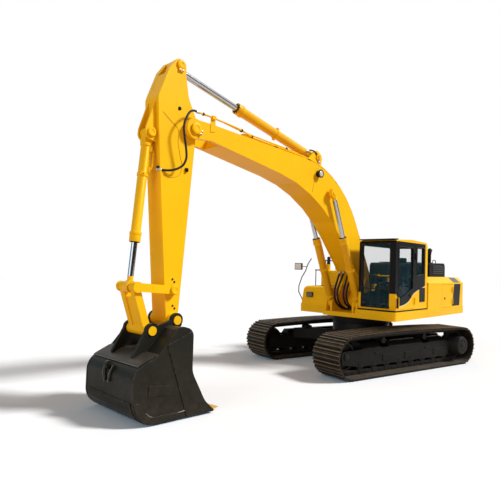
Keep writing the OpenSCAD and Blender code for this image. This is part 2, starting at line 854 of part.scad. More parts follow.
// Two posts and the bar between them
module rail(x0, x1, y, z, h) {
    for (x = [x0, x1]) translate([x, y, z]) cylinder(h = h, r = rail_r - bar_step);
    translate([x0 - 2 * rail_r, y, z + h]) rotate([0, 90, 0]) cylinder(h = x1 - x0 + 4 * rail_r, r = rail_r);
}
module handrails() {
    color(black) {
        rail(tank_front + 120, box_front - 400, -box_out + 170, box_top, box_rail_h);
        rail(tank_rear + 120, tank_front - 120, -house_half + 68, tank_top, rail_h);
        for (z = [grab_low, grab_high]) crossbar([grab_x, z], grab_r - bar_step, cab_out, cab_out + grab_out);
        translate([grab_x, cab_out + grab_out, grab_low - 2 * grab_r])
            cylinder(h = grab_high - grab_low + 4 * grab_r, r = grab_r);
    }
}
// Mirror stay: points of its bent pipe beside the toolbox, and the mirror on its arm
mirror_y = -deck_half + 62;
stay_r = 13;
stay_path = [
    [box_front - 90, deck_top], [box_front - 90, 1500], [box_front + 80, 1720], [box_front + 76, 1870],
    [box_front - 41, 2106], [box_front - 210, 2290], [box_front - 310, 2480], [box_front - 460, 2631]
];
mirror_x = box_front + 85;
mirror_z = 2405;
mirror_w = 240;
mirror_h = 180;
mirror_t = 46;
module mirrors() {
    color(black) translate([0, mirror_y, 0]) {
        for (i = [0 : len(stay_path) - 2]) {
            a = stay_path[i];
            b = stay_path[i + 1];
            translate([a[0], 0, a[1]]) rotate([0, 90 - heading(b - a), 0])
                cylinder(h = norm(b - a), r = stay_r);
            translate([b[0], 0, b[1]]) sphere(stay_r + 2);
        }
        translate([stay_path[6][0] + 30, 0, mirror_z]) rotate([0, 90, 0])
            cylinder(h = mirror_x - stay_path[6][0] - 25, r = stay_r - 4);
        block([mirror_x, -mirror_w / 2, mirror_z - mirror_h / 2],
            [mirror_x + mirror_t, mirror_w / 2, mirror_z + mirror_h / 2]);
    }
}
lamp_at = [2454, 4470];
module boom_lamp() {
    color(black) crossbar(lamp_at, 75, boom_half, boom_half + 90);
}
// Lamp let into the toolbox's sloped front
front_lamp_y = [-1232, -1037];
front_lamp_z = [1590, 1720];
function box_face(z) = box_front - box_lean * (z - deck_top) / (box_top - deck_top);
module front_lamp() {
    color(black) upright([
        for (z = front_lamp_z) [box_face(z) + seat_gap, z],
        [box_front + 20, front_lamp_z[1]], [box_front + 20, front_lamp_z[0]]
    ], front_lamp_y[0], front_lamp_y[1]);
}

// Boom

// Corners of the boom side, from the foot along the underside and back over the top
boom_side = [
    [70, -190, 0], [2950, 1000, 3800], [boom_len - 399, 45, 400], [boom_len - 20, -nose_r + 5, 0],
    [boom_len + 40, nose_r - 5, 0], [boom_len - 259, 305, 300], [2420, 1915, 2580], [-115, 170, 0]
];
fork_start = boom_len - 619;
boom_void = [
    [330, -83, 0], [2950, 1000, 3800], [fork_start - 150, 150, 0], [fork_start - 150, 445, 0],
    [2420, 1915, 2580],
    [130, 340, 0]
];
bracket_in = 118;
bracket_t = 40;
module boom() {
    base = turn(arm_base - [foot_x, foot_z], -boom_angle);
    color(yellow) on_boom() difference() {
        union() {
            upright(rounded(boom_side), -boom_half, boom_half);
            crossbar([0, 0], foot_r, -boom_half, boom_half);
            crossbar([boom_len, 0], nose_r, -boom_half - 20, boom_half + 20);
            both_sides(rounded([
                [base[0] - 330, base[1] - 560, 0], [base[0] + 420, base[1] - 520, 0],
                [base[0] + 130, base[1] + 120, 120],
                [base[0] - 130, base[1] + 120, 120]
            ]), bracket_in, bracket_in + bracket_t);
        }
        upright(rounded(boom_void, plate_t), -boom_half + plate_t, boom_half - plate_t);
        upright([
            [fork_start, -500], [boom_len + 400, -500], [boom_len + 400, 600], [fork_start, 600]
        ], -fork_in_half, fork_in_half);
        crossbar([0, 0], pin_r + fit, -boom_half - 5, boom_half + 5);
        crossbar([boom_len, 0], pin_r, -boom_half - 50, boom_half + 50);
        crossbar(base, pin_r, -200, 200);
    }
    color(steel) on_boom() {
        crossbar([boom_len, 0], pin_r, -boom_half - 40, boom_half + 40);
        crossbar(base, pin_r, -bracket_in - bracket_t - 10, bracket_in + bracket_t + 10);
    }
}

pipe_r = 18;
pipe_rise = 40;
// Y places of the pipes on each side of the boom's back
pipe_rows = [192, 242];
pipe_sides = 8;
// An open path a, b, c with its corner rounded to r, moved to the right by d
function open_path(a, b, c, r, d) =
    let (n1 = -left_of(unit(b - a)) * d, n2 = -left_of(unit(c - b)) * d)
    [a + n1, each corner_arc(a + n1, moved(a, b, c, -d), c + n2, r + d), c + n2];
// The boom's back from near the nose to near the foot, lifted by the pipe
pipe_path = open_path(
    flat(boom_side[5] * 0.8 + boom_side[6] * 0.2), flat(boom_side[6]),
    flat(boom_side[6] * 0.3 + boom_side[7] * 0.7), boom_side[6][2], pipe_rise);
module boom_pipes() {
    color(yellow) on_boom() for (side = [-1, 1], y = pipe_rows) translate([0, side * y, 0])
        tube(pipe_path, pipe_r);
}
// Blocks that carry the pipes on the boom's back, by their place along the pipe
clamp_marks = [0, 1, 4, 7, 8];
module pipe_clamps() {
    flat_r = pipe_r * cos(180 / pipe_sides);
    color(black) on_boom() for (i = clamp_marks, side = [0, 1]) mirror([0, side, 0]) {
        dir = unit(pipe_path[i + 1] - pipe_path[i]);
        foot = (pipe_path[i] + pipe_path[i + 1]) / 2 - [dir[1], -dir[0]] * pipe_rise;
        translate([foot[0], 0, foot[1]]) rotate([0, -heading(dir), 0])
            block([-40, pipe_rows[0] - 28, -pipe_rise + flat_r], [40, pipe_rows[1] + 28, -seat_gap]);
    }
}
// A round pipe swept along upright points, one ring at each
module tube(path, r) {
    n = len(path);
    rings = [for (i = [0 : n - 1])
        let (dir = unit(path[min(i + 1, n - 1)] - path[max(i - 1, 0)]), up = left_of(dir))
        for (k = [0 : pipe_sides - 1])
            let (a = 360 * (k + 0.5) / pipe_sides, off = up * r * cos(a))
            [path[i][0] + off[0], r * sin(a), path[i][1] + off[1]]];
    walls = [for (i = [0 : n - 2], k = [0 : pipe_sides - 1])
        let (m = (k + 1) % pipe_sides)
        [i * pipe_sides + k, (i + 1) * pipe_sides + k, (i + 1) * pipe_sides + m, i * pipe_sides + m]];
    first = [for (k = [0 : pipe_sides - 1]) k];
    last = [for (k = [pipe_sides - 1 : -1 : 0]) (n - 1) * pipe_sides + k];
    polyhedron(rings, [first, each walls, last]);
}

// Hydraulic cylinders

// A barrel from its base eye: length to the gland, radius, half width of the eye and its radius
neck = 165;
module barrel(base, eye, len, r, half, eye_r) {
    color(yellow) translate([base[0], 0, base[1]]) rotate([0, 90 - heading(eye - base), 0]) {
        difference() {
            union() {
                rotate([90, 0, 0]) translate([0, 0, -half]) cylinder(h = 2 * half, r = eye_r);
                block([-eye_r * 0.75, -half, 0], [eye_r * 0.75, half, neck + 10]);
                translate([0, 0, neck]) cylinder(h = len - neck, r = r);
                translate([0, 0, len - 130]) cylinder(h = 130, r = r + 12);
            }
            rotate([90, 0, 0]) translate([0, 0, -half - 5]) cylinder(h = 2 * half + 10, r = pin_r + fit);
            translate([0, 0, neck + 40]) cylinder(h = len, r = r * 0.62 + fit);
        }
    }
}
// Its rod, from inside the barrel to the eye, with the eye's own pin
module piston_rod(base, eye, start, r, half, eye_r, pin_half) {
    reach = norm(eye - base);
    color(steel) translate([base[0], 0, base[1]]) rotate([0, 90 - heading(eye - base), 0])
        translate([0, 0, start]) cylinder(h = reach - start - 20, r = r * 0.62);
    color(yellow) crossbar(eye, eye_r, -half, half);
    color(steel) crossbar(eye, pin_r, -pin_half, pin_half);
}

boom_barrel_len = 1770;
boom_barrel_r = 86;
module boom_barrels() {
    for (side = [-1, 1]) translate([0, side * boom_cyl_y, 0])
        barrel(boom_base, boom_eye, boom_barrel_len, boom_barrel_r, 40, 105);
}
module boom_rods() {
    for (side = [-1, 1]) translate([0, side * boom_cyl_y, 0])
        piston_rod(boom_base, boom_eye, 1100, boom_barrel_r, 42, 110, 60);
}
arm_barrel_len = 2530;
arm_barrel_r = 98;
module arm_barrel() {
    barrel(arm_base, arm_eye, arm_barrel_len, arm_barrel_r, 85, 110);
}
module arm_rod() {
    piston_rod(arm_base, arm_eye, 1650, arm_barrel_r, 75, 105, 85);
}
bucket_barrel_len = 1775;
bucket_barrel_r = 78;
module bucket_barrel() {
    barrel(bucket_base, link_eye, bucket_barrel_len, bucket_barrel_r, 75, 88);
}
module bucket_rod() {
    piston_rod(bucket_base, link_eye, 700, bucket_barrel_r, 70, 95, 78);
}

// Arm

// Corners of the arm side from the tip's back edge round by the tail, in the arm's own frame
arm_side = [
    [-940, 250, 60], [-510, 125, 300], [-170, -100, 250], [arm_len - 40, -112, 0], [arm_len + 40, 112, 0],
    [2755, 205, 0], [536, 590, 0], [-330, 725, 200], [-860, 575, 0], [-940, 527, 0]
];
arm_void = [
    [-480, 330, 0], [60, -100, 0], [2950, -105, 0], [2950, 150, 0], [536, 590, 0], [-330, 725, 200],
    [-480, 682, 0]
];
// The tail's two cheeks, the slot between them for the rod's eye, and the lugs of the bucket cylinder
tail_cheek = [
    [-1100, 255, 95], [-640, 200, 40], [-500, 250, 0], [-500, 677, 0], [-860, 575, 60], [-1095, 435, 90]
];
tail_slot = [[-1300, 100], [-520, 100], [-520, 800], [-1300, 800]];
tail_slot_half = 100;
lug_in = 85;
lug_out = 120;
cylinder_lug = [
    [-360, 700, 0], [400, 570, 0], [cyl_foot[0] + 110, cyl_foot[1] + 105, 105],
    [cyl_foot[0] - 60, cyl_foot[1] + 105, 90]
];
rocker_hole = turn(bucket_pin + rocker_pin - boom_tip, arm_angle);
module arm() {
    color(yellow) on_arm() difference() {
        union() {
            upright(rounded(arm_side), -arm_half, arm_half);
            crossbar([0, 0], 150, -fork_in_half + side_gap, fork_in_half - side_gap);
            crossbar([arm_len, 0], 115, -ear_in + side_gap, ear_in - side_gap);
            both_sides(rounded(tail_cheek), tail_slot_half, arm_half);
            both_sides(rounded(cylinder_lug), lug_in, lug_out);
        }
        upright(rounded(arm_void, plate_t), -arm_half + plate_t, arm_half - plate_t);
        upright(tail_slot, -tail_slot_half, tail_slot_half);
        crossbar([0, 0], pin_r + fit, -ear_in, ear_in);
        crossbar([arm_len, 0], pin_r + fit, -ear_in, ear_in);
        crossbar(tail_pin, pin_r, -arm_half - 5, arm_half + 5);
        crossbar(cyl_foot, pin_r, -130, 130);
        crossbar(rocker_hole, pin_r, -arm_half - 5, arm_half + 5);
    }
    color(steel) on_arm() {
        crossbar(cyl_foot, pin_r, -130, 130);
        crossbar(rocker_hole, pin_r, -rocker_in - rocker_t - 10, rocker_in + rocker_t + 10);
        for (side = [0, 1]) mirror([0, side, 0]) crossbar(tail_pin, pin_r, tail_slot_half, arm_half + 12);
    }
}

// Bucket and its linkage

rocker_in = arm_half + 22;
rocker_t = 48;
module rockers() {
    color(yellow) on_bucket() {
        a = rocker_pin;
        b = link_eye - bucket_pin;
        for (side = [0, 1]) mirror([0, side, 0]) difference() {
            strap(a, b, 85, rocker_in, rocker_in + rocker_t);
            crossbar(a, pin_r + fit, rocker_in - 5, rocker_in + rocker_t + 5);
        }
    }
}
// A flat link with round ends between two upright points
module strap(a, b, r, y0, y1) {
    n = left_of(unit(b - a)) * r * 0.8;
    crossbar(a, r, y0, y1);
    crossbar(b, r, y0, y1);
    upright([a - n, b - n, b + n, a + n], y0, y1);
}
link_in_half = 95;
link_out_half = rocker_in - side_gap;
web_half = 42;
web_end = 150;
module bucket_link() {
    a = link_pin;
    b = link_eye - bucket_pin;
    n = left_of(unit(b - a)) * web_half;
    c = b - unit(b - a) * web_end;
    color(yellow) on_bucket() difference() {
        union() {
            for (side = [0, 1]) mirror([0, side, 0]) strap(a, b, 78, link_in_half, link_out_half);
            crossbar(a, 90, -ear_in + side_gap, ear_in - side_gap);
            upright([a - n, c - n, c + n, a + n], -link_in_half - 10, link_in_half + 10);
        }
        crossbar(a, pin_r + fit, -ear_in, ear_in);
        crossbar(b, pin_r, -link_out_half - 5, link_out_half + 5);
    }
    color(steel) on_bucket() for (side = [0, 1]) mirror([0, side, 0])
        crossbar(b, pin_r, link_in_half, link_out_half + 2);
}

// Corners of the bucket shell, from the lip round the heel to the upper edge
bucket_shell = [
    [-374, -1408, 0], [990, -1423, 330], [1010, -640, 260], [560, -440, 200], [230, -420, 0]
];
// The cheeks' corners: brow over the mouth, and front edge down to the lip
bucket_brow = [[585, -470, 150], [200, -45, 110], [-30, -110, 130]];
bucket_front = [[10, -760, 300], [-215, -1230, 300], [-374, -1385, 0]];
bucket_cheek = concat([bucket_shell[0], bucket_shell[1], bucket_shell[2]], bucket_brow, bucket_front);
// Section of the plate under the brow, from the shell to the mouth and back along its inside
brow_plate = [
    [600, -490], [243, -99], [188, -72], [134, -68], [60, -88], [60, -122], [134, -102], [176, -105],
    [216, -120],
    [568, -505]
];
bucket_half = bucket_w / 2;
cheek_plate = 30;
// The cheeks lean in towards the back and the top
lean_back = 5.1;
lean_up = 4.25;
room = 2500;
// A slab that lies in one cheek's plane, from d0 to d1 inwards of it
module lean_slab(side, d0, d1) {
    mirror([0, side, 0]) translate([bucket_shell[0][0], bucket_half, bucket_shell[0][1]])
        rotate([lean_up, 0, -lean_back]) translate([-room, -d1, -room]) cube([2 * room, d1 - d0, 2 * room]);
}
// The space between the two cheek planes, moved inwards by d
module bucket_room(d) {
    intersection() {
        lean_slab(0, d, room);
        lean_slab(1, d, room);
    }
}
// A plate that lies in one cheek, from d0 in to d1, with an upright outline
module in_cheek(side, points, d0, d1) {
    intersection() {
        lean_slab(side, d0, d1);
        upright(points, -bucket_w, bucket_w);
    }
}
// Wear plates: thickness, band width on the cheeks, upper edge on the back
wear_t = 14;
wear_band = 105;
heel_top = -1090;
heel_in = 75;
band_x = 280;
// The cheeks stand out past the shell, the wear plates stop short of their edge
edge_out = 6;
edge_in = 5;
cutter_line = [[440, -311], [119, -1440]];
side_pad = [[410, -1030], [760, -1010], [760, -870], [410, -900]];
ear_r = 118;
ear_web = [
    [-100, -80, 0], [230, -520, 0], [780, -560, 0], [800, -500, 20], [585, -120, 0], [490, -95, 0],
    [247, -28, 80], [20, 40, 0], [-100, 40, 0]
];
hook = [[940, -690], [1016, -636]];
hook_r = 62;
hook_half = 22;
module bucket() {
    wide = bucket_w / 2 + 5;
    color(black) on_bucket() difference() {
        union() {
            intersection() {
                bucket_room(cheek_plate / 2);
                difference() {
                    upright(rounded(bucket_shell), -wide, wide);
                    upright(rounded(bucket_shell, shell_t), -wide - 5, wide + 5);
                    upright([
                        [lip_x - 200, lip_top(lip_x - 200)], [lip_x + 200, lip_top(lip_x + 200)], [300, -700],
                        [220, -460], [150, -380], [-200, -600]
                    ], -wide - 5, wide + 5);
                }
            }
            for (side = [0, 1]) in_cheek(side, rounded(bucket_cheek, -edge_out), 0, cheek_plate);
            upper_plates();
            wear_plates();
            both_sides(rounded(ear_web), ear_in, ear_in + ear_t);
            for (side = [0, 1], p = [[0, 0], link_pin]) mirror([0, side, 0])
                crossbar(p, ear_r, ear_in, ear_in + ear_t);
            strap(hook[0], hook[1], hook_r, -hook_half, hook_half);
        }
        for (p = [[0, 0], link_pin]) crossbar(p, pin_r + fit, -ear_in - ear_t - 5, ear_in + ear_t + 5);
        crossbar(hook[1], hook_r / 2, -hook_half - 5, hook_half + 5);
    }
}
// Upper plates from the ears out to the cheeks
module upper_plates() {
    for (side = [0, 1]) intersection() {
        lean_slab(side, cheek_plate / 3, bucket_half);
        mirror([0, side, 0]) upright(brow_plate, ear_in + ear_t - 5, bucket_half + 5);
    }
}
module wear_plates() {
    intersection() {
        bucket_room(heel_in);
        difference() {
            upright(rounded(bucket_shell, -wear_t), -bucket_w, bucket_w);
            upright(rounded(bucket_shell, wear_t), -2 * bucket_w, 2 * bucket_w);
        }
        block([80, -bucket_w, -1600], [1200, bucket_w, heel_top]);
    }
    for (side = [0, 1]) {
        intersection() {
            in_cheek(side, rounded(bucket_cheek, edge_in), -wear_t, wear_t);
            upright([cutter_line[0], [-600, 100],
                [-600, -1500], cutter_line[1]], -2 * bucket_w, 2 * bucket_w);
        }
        intersection() {
            lean_slab(side, -wear_t, wear_t);
            difference() {
                upright(rounded(bucket_shell, edge_in), -bucket_w, bucket_w);
                upright(rounded(bucket_shell, wear_band), -2 * bucket_w, 2 * bucket_w);
            }
            block([band_x, -bucket_w - 5, -1600], [1200, bucket_w + 5, heel_top]);
        }
        in_cheek(side, side_pad, -wear_t, wear_t);
    }
}
// Bucket pins with their caps
cap_r = 72;
cap_t = 20;
module bucket_pins() {
    out = ear_in + ear_t + seat_gap;
    color(yellow) on_bucket() for (p = [[0, 0], link_pin]) {
        crossbar(p, pin_r, -out - 5, out + 5);
        for (side = [0, 1]) mirror([0, side, 0]) crossbar(p, cap_r, out, out + cap_t);
    }
}

tooth_count = 5;
tooth_in = 125;
tooth_w = 110;
// Upper face of the lip plate at a place along it
function lip_top(x) =
    let (a = bucket_shell[0], b = bucket_shell[1], dir = unit(flat(b) - flat(a)))
    a[1] + (x - a[0]) * dir[1] / dir[0] + shell_t / dir[0];
lip_x = bucket_shell[0][0];
strap_x = lip_x + 170;
tooth = [
    [lip_x - 186, -1392], [lip_x - seat_gap, -1422], [lip_x - seat_gap, lip_top(lip_x) + seat_gap],
    [strap_x, lip_top(strap_x) + seat_gap], [strap_x, lip_top(strap_x) + 22], [lip_x, lip_top(lip_x) + 48]
];
module bucket_teeth() {
    color("#d8c469") on_bucket() for (i = [0 : tooth_count - 1]) {
        y = (bucket_half - tooth_in) * (2 * i / (tooth_count - 1) - 1);
        upright(tooth, y - tooth_w / 2, y + tooth_w / 2);
    }
}

carbody();
track_frame(1);  // track_frame_left
track_frame(-1);  // track_frame_right
one_track(1);  // track_left
one_track(-1);  // track_right
idlers();
sprockets();
track_rollers();
carrier_rollers();
swing_bearing();
revolving_frame();
counterweight();
engine();
machine_covers();
engine_hood();
exhaust();
side_panels();
service_door();
pump_door();
fuel_tank();
toolbox();
cab_frame();
cab_glass();
cab_door();
door_glass();
operator_seat();
cab_controls();
cab_trim();
handrails();
mirrors();
front_lamp();
boom_lamp();
boom();
boom_pipes();
pipe_clamps();
boom_barrels();
boom_rods();
arm_barrel();
arm_rod();
arm();
bucket_barrel();
bucket_rod();
rockers();
bucket_link();
bucket();
bucket_pins();
bucket_teeth();
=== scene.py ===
import json
import math

import bmesh
import bpy
from mathutils import Matrix, Vector


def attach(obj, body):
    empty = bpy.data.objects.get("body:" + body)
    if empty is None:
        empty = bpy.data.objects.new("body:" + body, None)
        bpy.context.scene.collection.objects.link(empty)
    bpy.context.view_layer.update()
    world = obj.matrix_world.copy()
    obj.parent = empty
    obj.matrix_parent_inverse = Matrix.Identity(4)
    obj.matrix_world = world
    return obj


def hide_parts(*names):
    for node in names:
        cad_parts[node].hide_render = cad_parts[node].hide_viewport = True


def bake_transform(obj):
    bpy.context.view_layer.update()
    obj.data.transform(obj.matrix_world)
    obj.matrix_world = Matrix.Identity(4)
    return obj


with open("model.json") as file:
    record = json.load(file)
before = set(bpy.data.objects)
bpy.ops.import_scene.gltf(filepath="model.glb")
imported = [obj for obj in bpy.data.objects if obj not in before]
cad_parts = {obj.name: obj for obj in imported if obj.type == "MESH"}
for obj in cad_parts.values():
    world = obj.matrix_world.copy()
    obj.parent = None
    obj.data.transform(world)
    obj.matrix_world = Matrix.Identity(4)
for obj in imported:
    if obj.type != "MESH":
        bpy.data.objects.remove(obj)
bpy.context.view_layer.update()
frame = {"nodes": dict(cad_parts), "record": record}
nodes = frame["nodes"]
scene = bpy.context.scene
SIDES = (1.0, -1.0)
NAMED_SIDES = (("left", 1.0), ("right", -1.0))
TO_LEFT, TO_RIGHT, TO_SKY = (0.0, 1.0, 0.0), (0.0, -1.0, 0.0), (0.0, 0.0, 1.0)

# Camera at the photograph's place and angle
EYE = Vector((10.949, 6.426, 2.322))
FORWARD = Vector((-0.7214, -0.6919, 0.029)).normalized()
UP = Vector((0.0403, -0.0001, 0.9992))
camera_data = bpy.data.cameras.new("camera")
camera_data.sensor_width = 36.0
camera_data.lens = 33.5
camera_data.shift_x = -0.0026
camera_data.shift_y = 0.0091
camera = bpy.data.objects.new("camera", camera_data)
across_view = FORWARD.cross(UP).normalized()
view_axes = Matrix((across_view, across_view.cross(FORWARD), -FORWARD)).transposed()
camera.matrix_world = Matrix.Translation(EYE) @ view_axes.to_4x4()
scene.collection.objects.link(camera)
scene.camera = camera


class Graph:
    """Short ways to add and join the nodes of a material or the world."""

    def __init__(self, tree):
        self.tree = tree

    def node(self, kind, **settings):
        made = self.tree.nodes.new("ShaderNode" + kind)
        for key, value in settings.items():
            setattr(made, key, value)
        return made

    def feed(self, socket, value):
        """Links a socket to another one, or sets it to a number or colour."""
        if isinstance(value, bpy.types.NodeSocket):
            self.tree.links.new(value, socket)
        else:
            socket.default_value = value

    def feed_all(self, sockets, values):
        for name, value in values.items():
            self.feed(sockets[name], value)

    def ranged(self, value, a, b, c=0.0, d=1.0, kind="LINEAR"):
        """A value from a to b, as one from c to d."""
        made = self.node("MapRange", interpolation_type=kind)
        self.feed_all(made.inputs, {"Value": value, "From Min": a, "From Max": b, "To Min": c, "To Max": d})
        return made.outputs["Result"]

    def pair(self, made, a, b):
        self.feed(made.inputs[0], a)
        self.feed(made.inputs[1], b)
        return made.outputs

    def maths(self, operation, a, b):
        return self.pair(self.node("Math", operation=operation), a, b)[0]

    def vectors(self, operation, a, b):
        return self.pair(self.node("VectorMath", operation=operation), a, b)["Value"]

    def mixed(self, fac, a, b, kind="RGBA"):
        made = self.node("Mix", data_type=kind)
        self.feed_all(made.inputs, {"Factor": fac, "A": a, "B": b})
        return made.outputs["Result"]

    def split(self, vector):
        made = self.node("SeparateXYZ")
        self.feed(made.inputs["Vector"], vector)
        return made.outputs

    def place(self):
        return self.node("TexCoord").outputs["Object"]

    def normal(self):
        return self.node("NewGeometry").outputs["Normal"]

    def noise(self, where, scale, detail=4.0, rough=0.55):
        made = self.node("TexNoise")
        self.feed_all(made.inputs, {"Vector": where, "Scale": scale, "Detail": detail, "Roughness": rough})
        return made.outputs["Fac"]


# Materials
GRAIN_DEPTH, WEAR_WIDTH, COAT_ROUGH = 0.001, 0.012, 0.12
# Colours of the dust low down, of the dust and painted light on the tops, and of bare steel
LOW_DUST, TOP_DUST_AND_LIGHT, BARE_STEEL = (0.3, 0.24, 0.16, 1.0), (0.26, 0.22, 0.17, 1.0), (0.3, 0.29, 0.27)


def shader(m):
    return m.node_tree.nodes["Principled BSDF"].inputs


def new_material(name):
    m = bpy.data.materials.new(name)
    m.use_nodes = True
    return m, Graph(m.node_tree)


def shade(c, k):
    return tuple(min(1.0, v * k) for v in c[:3]) + (1.0,)


def surface(name, colour, rough=0.4, metal=0.0, coat=0.0, vary=0.05, patch=1.5, grain=90.0, bump=0.15,
            dust=0.0, dust_top=1.2, top_dust_and_light=0.0, wear=0.0, wear_colour=BARE_STEEL, gloss=0.25):
    """A finish with broad colour drift and fine grain in gloss and bump. It can have dust low down (dust), a
    lighter brown on what looks up that is partly dust and partly painted light on the tops
    (top_dust_and_light), and worn edges (wear)."""
    m, g = new_material(name)
    where = g.place()
    fine = g.noise(where, grain, 2.0)
    drift = g.ranged(g.noise(where, patch), 0.3, 0.7)
    base = g.mixed(drift, shade(colour, 1 - vary), shade(colour, 1 + vary))
    if dust:
        low_down = g.ranged(g.split(where)["Z"], 0.0, dust_top, 1.0, 0.0)
        speckle = g.ranged(g.noise(where, 7.0, 6.0, 0.7), 0.42, 0.68)
        dusty = g.maths("MULTIPLY", low_down, speckle)
        base = g.mixed(g.ranged(dusty, 0.0, 1.0, 0.0, dust), base, LOW_DUST)
    # Lighter brown on faces that look up: partly dust, partly painted light falling on the tops
    if top_dust_and_light:
        upward = g.ranged(g.split(g.normal())["Z"], 0.72, 0.95)
        dust_and_light_on_top = g.maths("MULTIPLY", upward, g.ranged(g.noise(where, 6.0, 5.0, 0.7), 0.35, 0.65, 0.4, 1.0))
        base = g.mixed(g.ranged(dust_and_light_on_top, 0.0, 1.0, 0.0, top_dust_and_light), base, TOP_DUST_AND_LIGHT)
    if wear:
        edge = g.node("Bevel", samples=4)
        g.feed(edge.inputs["Radius"], WEAR_WIDTH)
        same_way = g.vectors("DOT_PRODUCT", edge.outputs["Normal"], g.normal())
        rubbed = g.maths("MULTIPLY", g.ranged(same_way, 0.8, 0.97, 1.0, 0.0),
                         g.ranged(g.noise(where, 16.0, 5.0, 0.7), 0.45, 0.65, 0.0, wear))
        base = g.mixed(rubbed, base, wear_colour + (1.0,))
    lumps = g.node("Bump")
    g.feed_all(lumps.inputs, {"Strength": bump, "Distance": GRAIN_DEPTH, "Height": fine})
    g.feed_all(shader(m), {
        "Base Color": base, "Metallic": metal, "Normal": lumps.outputs["Normal"],
        "Roughness": g.ranged(fine, 0.3, 0.7, max(0.02, rough - 0.07), min(1.0, rough + 0.09)),
        "Coat Weight": coat, "Coat Roughness": COAT_ROUGH, "Specular IOR Level": gloss})
    return m


def add_zone(m, *rules):
    """Paints zones of a finish in other colours. A rule is (colour, limits), and a limit is (axis, low, high)
    in metres, where low and high are numbers, None, or lines such as sweep gives."""
    g = Graph(m.node_tree)
    base = shader(m)["Base Color"]
    place = g.split(g.place())
    for colour, limits in rules:
        inside = None
        for axis, low, high in limits:
            for limit, test in ((low, "GREATER_THAN"), (high, "LESS_THAN")):
                if limit is None:
                    continue
                passed = g.maths(test, place[axis], limit(g, place) if callable(limit) else limit)
                inside = passed if inside is None else g.maths("MULTIPLY", inside, passed)
        g.feed(base, g.mixed(inside, base.links[0].from_socket, colour + (1.0,)))
    return m


YELLOW = (0.96, 0.575, 0.006)
# A deeper, oranger copy of the yellow for the boom and arm barrels: painted shade for their shaded sides
SHADED_BARREL_YELLOW = (0.88, 0.49, 0.006)
BLACK = (0.007, 0.007, 0.008)
LINER = (0.01, 0.011, 0.012)
PALE_LINE = (0.75, 0.68, 0.45)
CHROME = (0.44, 0.44, 0.45)
CHROME_FINISH = {"rough": 0.1, "metal": 1.0, "vary": 0.02, "bump": 0.03}
yellow = surface("paint_yellow", YELLOW, 0.4, coat=0.03, vary=0.035, dust=0.03, dust_top=1.6, gloss=0.1)
shaded_barrel_paint = surface("paint_barrel_painted_shade", SHADED_BARREL_YELLOW, 0.34, coat=0.05, vary=0.05, patch=5.0, gloss=0.18)
# Dark orange for the arm's weld seams, and for the painted shadow line under the boom lamp
seam_and_shadow_paint = surface("paint_seam_and_shadow", (0.5, 0.24, 0.004), 0.5, vary=0.1)
black = surface("paint_black", BLACK, 0.38, vary=0.12, dust=0.04, gloss=0.09)
dark = surface("steel_dark", (0.012, 0.012, 0.011), 0.5, vary=0.15, dust=0.04, wear=0.2, gloss=0.12)
frame_paint = surface("paint_frame", (0.0075, 0.0078, 0.0065), 0.42, vary=0.15, dust=0.025, wear=0.12,
                      gloss=0.1)
bucket_paint = surface("paint_bucket", (0.015, 0.0145, 0.0108), 0.4, coat=0.03, vary=0.18, dust=0.06,
                       top_dust_and_light=0.16, wear=0.4, gloss=0.13)
# Pale steel for the bucket's weld beads: a painted highlight along their edges
weld_painted_highlight = surface("weld_painted_highlight", (0.2, 0.19, 0.17), 0.4, metal=0.3, vary=0.3, patch=20.0)
track_steel = surface("steel_track", (0.012, 0.01, 0.0075), 0.5, vary=0.25, dust=0.08, top_dust_and_light=0.35, wear=0.3,
                      wear_colour=(0.2, 0.13, 0.06), gloss=0.15)
# Brown caps on the grousers' tips: wear, and a painted highlight along each tip
ridge_wear_and_highlight = surface("steel_ridge_worn_and_highlit", (0.19, 0.135, 0.075), 0.45, metal=0.15, vary=0.4, patch=6.0, top_dust_and_light=0.3,
                      wear=0.3)
chrome = surface("chrome_rod", CHROME, **CHROME_FINISH)
steel = surface("steel_bright", (0.45, 0.44, 0.42), 0.35, metal=1.0, vary=0.08, wear=0.2)
plastic = surface("plastic_black", (0.009, 0.009, 0.009), 0.55, vary=0.08, grain=300.0, bump=0.25)
# Pale plastic for the mirror's shell: the mirror's white reflection, painted on
mirror_reflection_paint = surface("plastic_pale_painted_reflection", (0.8, 0.84, 0.88), 0.5, vary=0.04, grain=300.0)
rubber = surface("rubber_hose", (0.01, 0.0095, 0.009), 0.62, vary=0.15, grain=420.0, bump=0.35, dust=0.05)
cloth = surface("seat_cloth", (0.022, 0.023, 0.028), 0.9, vary=0.25, patch=9.0, grain=520.0, bump=0.3,
                gloss=0.1)
teeth_paint = surface("paint_teeth", (0.66, 0.44, 0.1), 0.5, vary=0.12, dust=0.2, wear=0.5)
lamp_glass = surface("lamp_lens", (0.62, 0.64, 0.64), 0.1, vary=0.05, coat=0.5, gloss=0.5)
amber_glass = surface("lamp_amber", (0.1, 0.07, 0.03), 0.12, vary=0.2, patch=14.0, coat=0.3, gloss=0.5)
red_lens = surface("lens_red", (0.35, 0.01, 0.01), 0.2, vary=0.05, coat=0.6)
# Grey for the bands on the slopes above the black side panels: a painted sheen where light falls on the slope
painted_sheen_grey = surface("paint_grey_painted_sheen", (0.1, 0.097, 0.095), 0.4, vary=0.05)
mirror_glass = surface("mirror_glass", (0.75, 0.77, 0.78), 0.04, metal=1.0, vary=0.02, bump=0.0)

# The line that sweeps down the cab's left side: shares of its length and height, and their ranges in metres
SWEEP = ((0.0, 0.93), (0.1, 0.86), (0.31, 0.72), (0.43, 0.63), (0.5, 0.56), (0.575, 0.4), (0.65, 0.3),
         (0.78, 0.22), (0.9, 0.185), (1.0, 0.17))
SWEEP_X, SWEEP_Z = (-0.8, 1.0), (1.4, 2.1)
SWEEP_LINE = -0.022


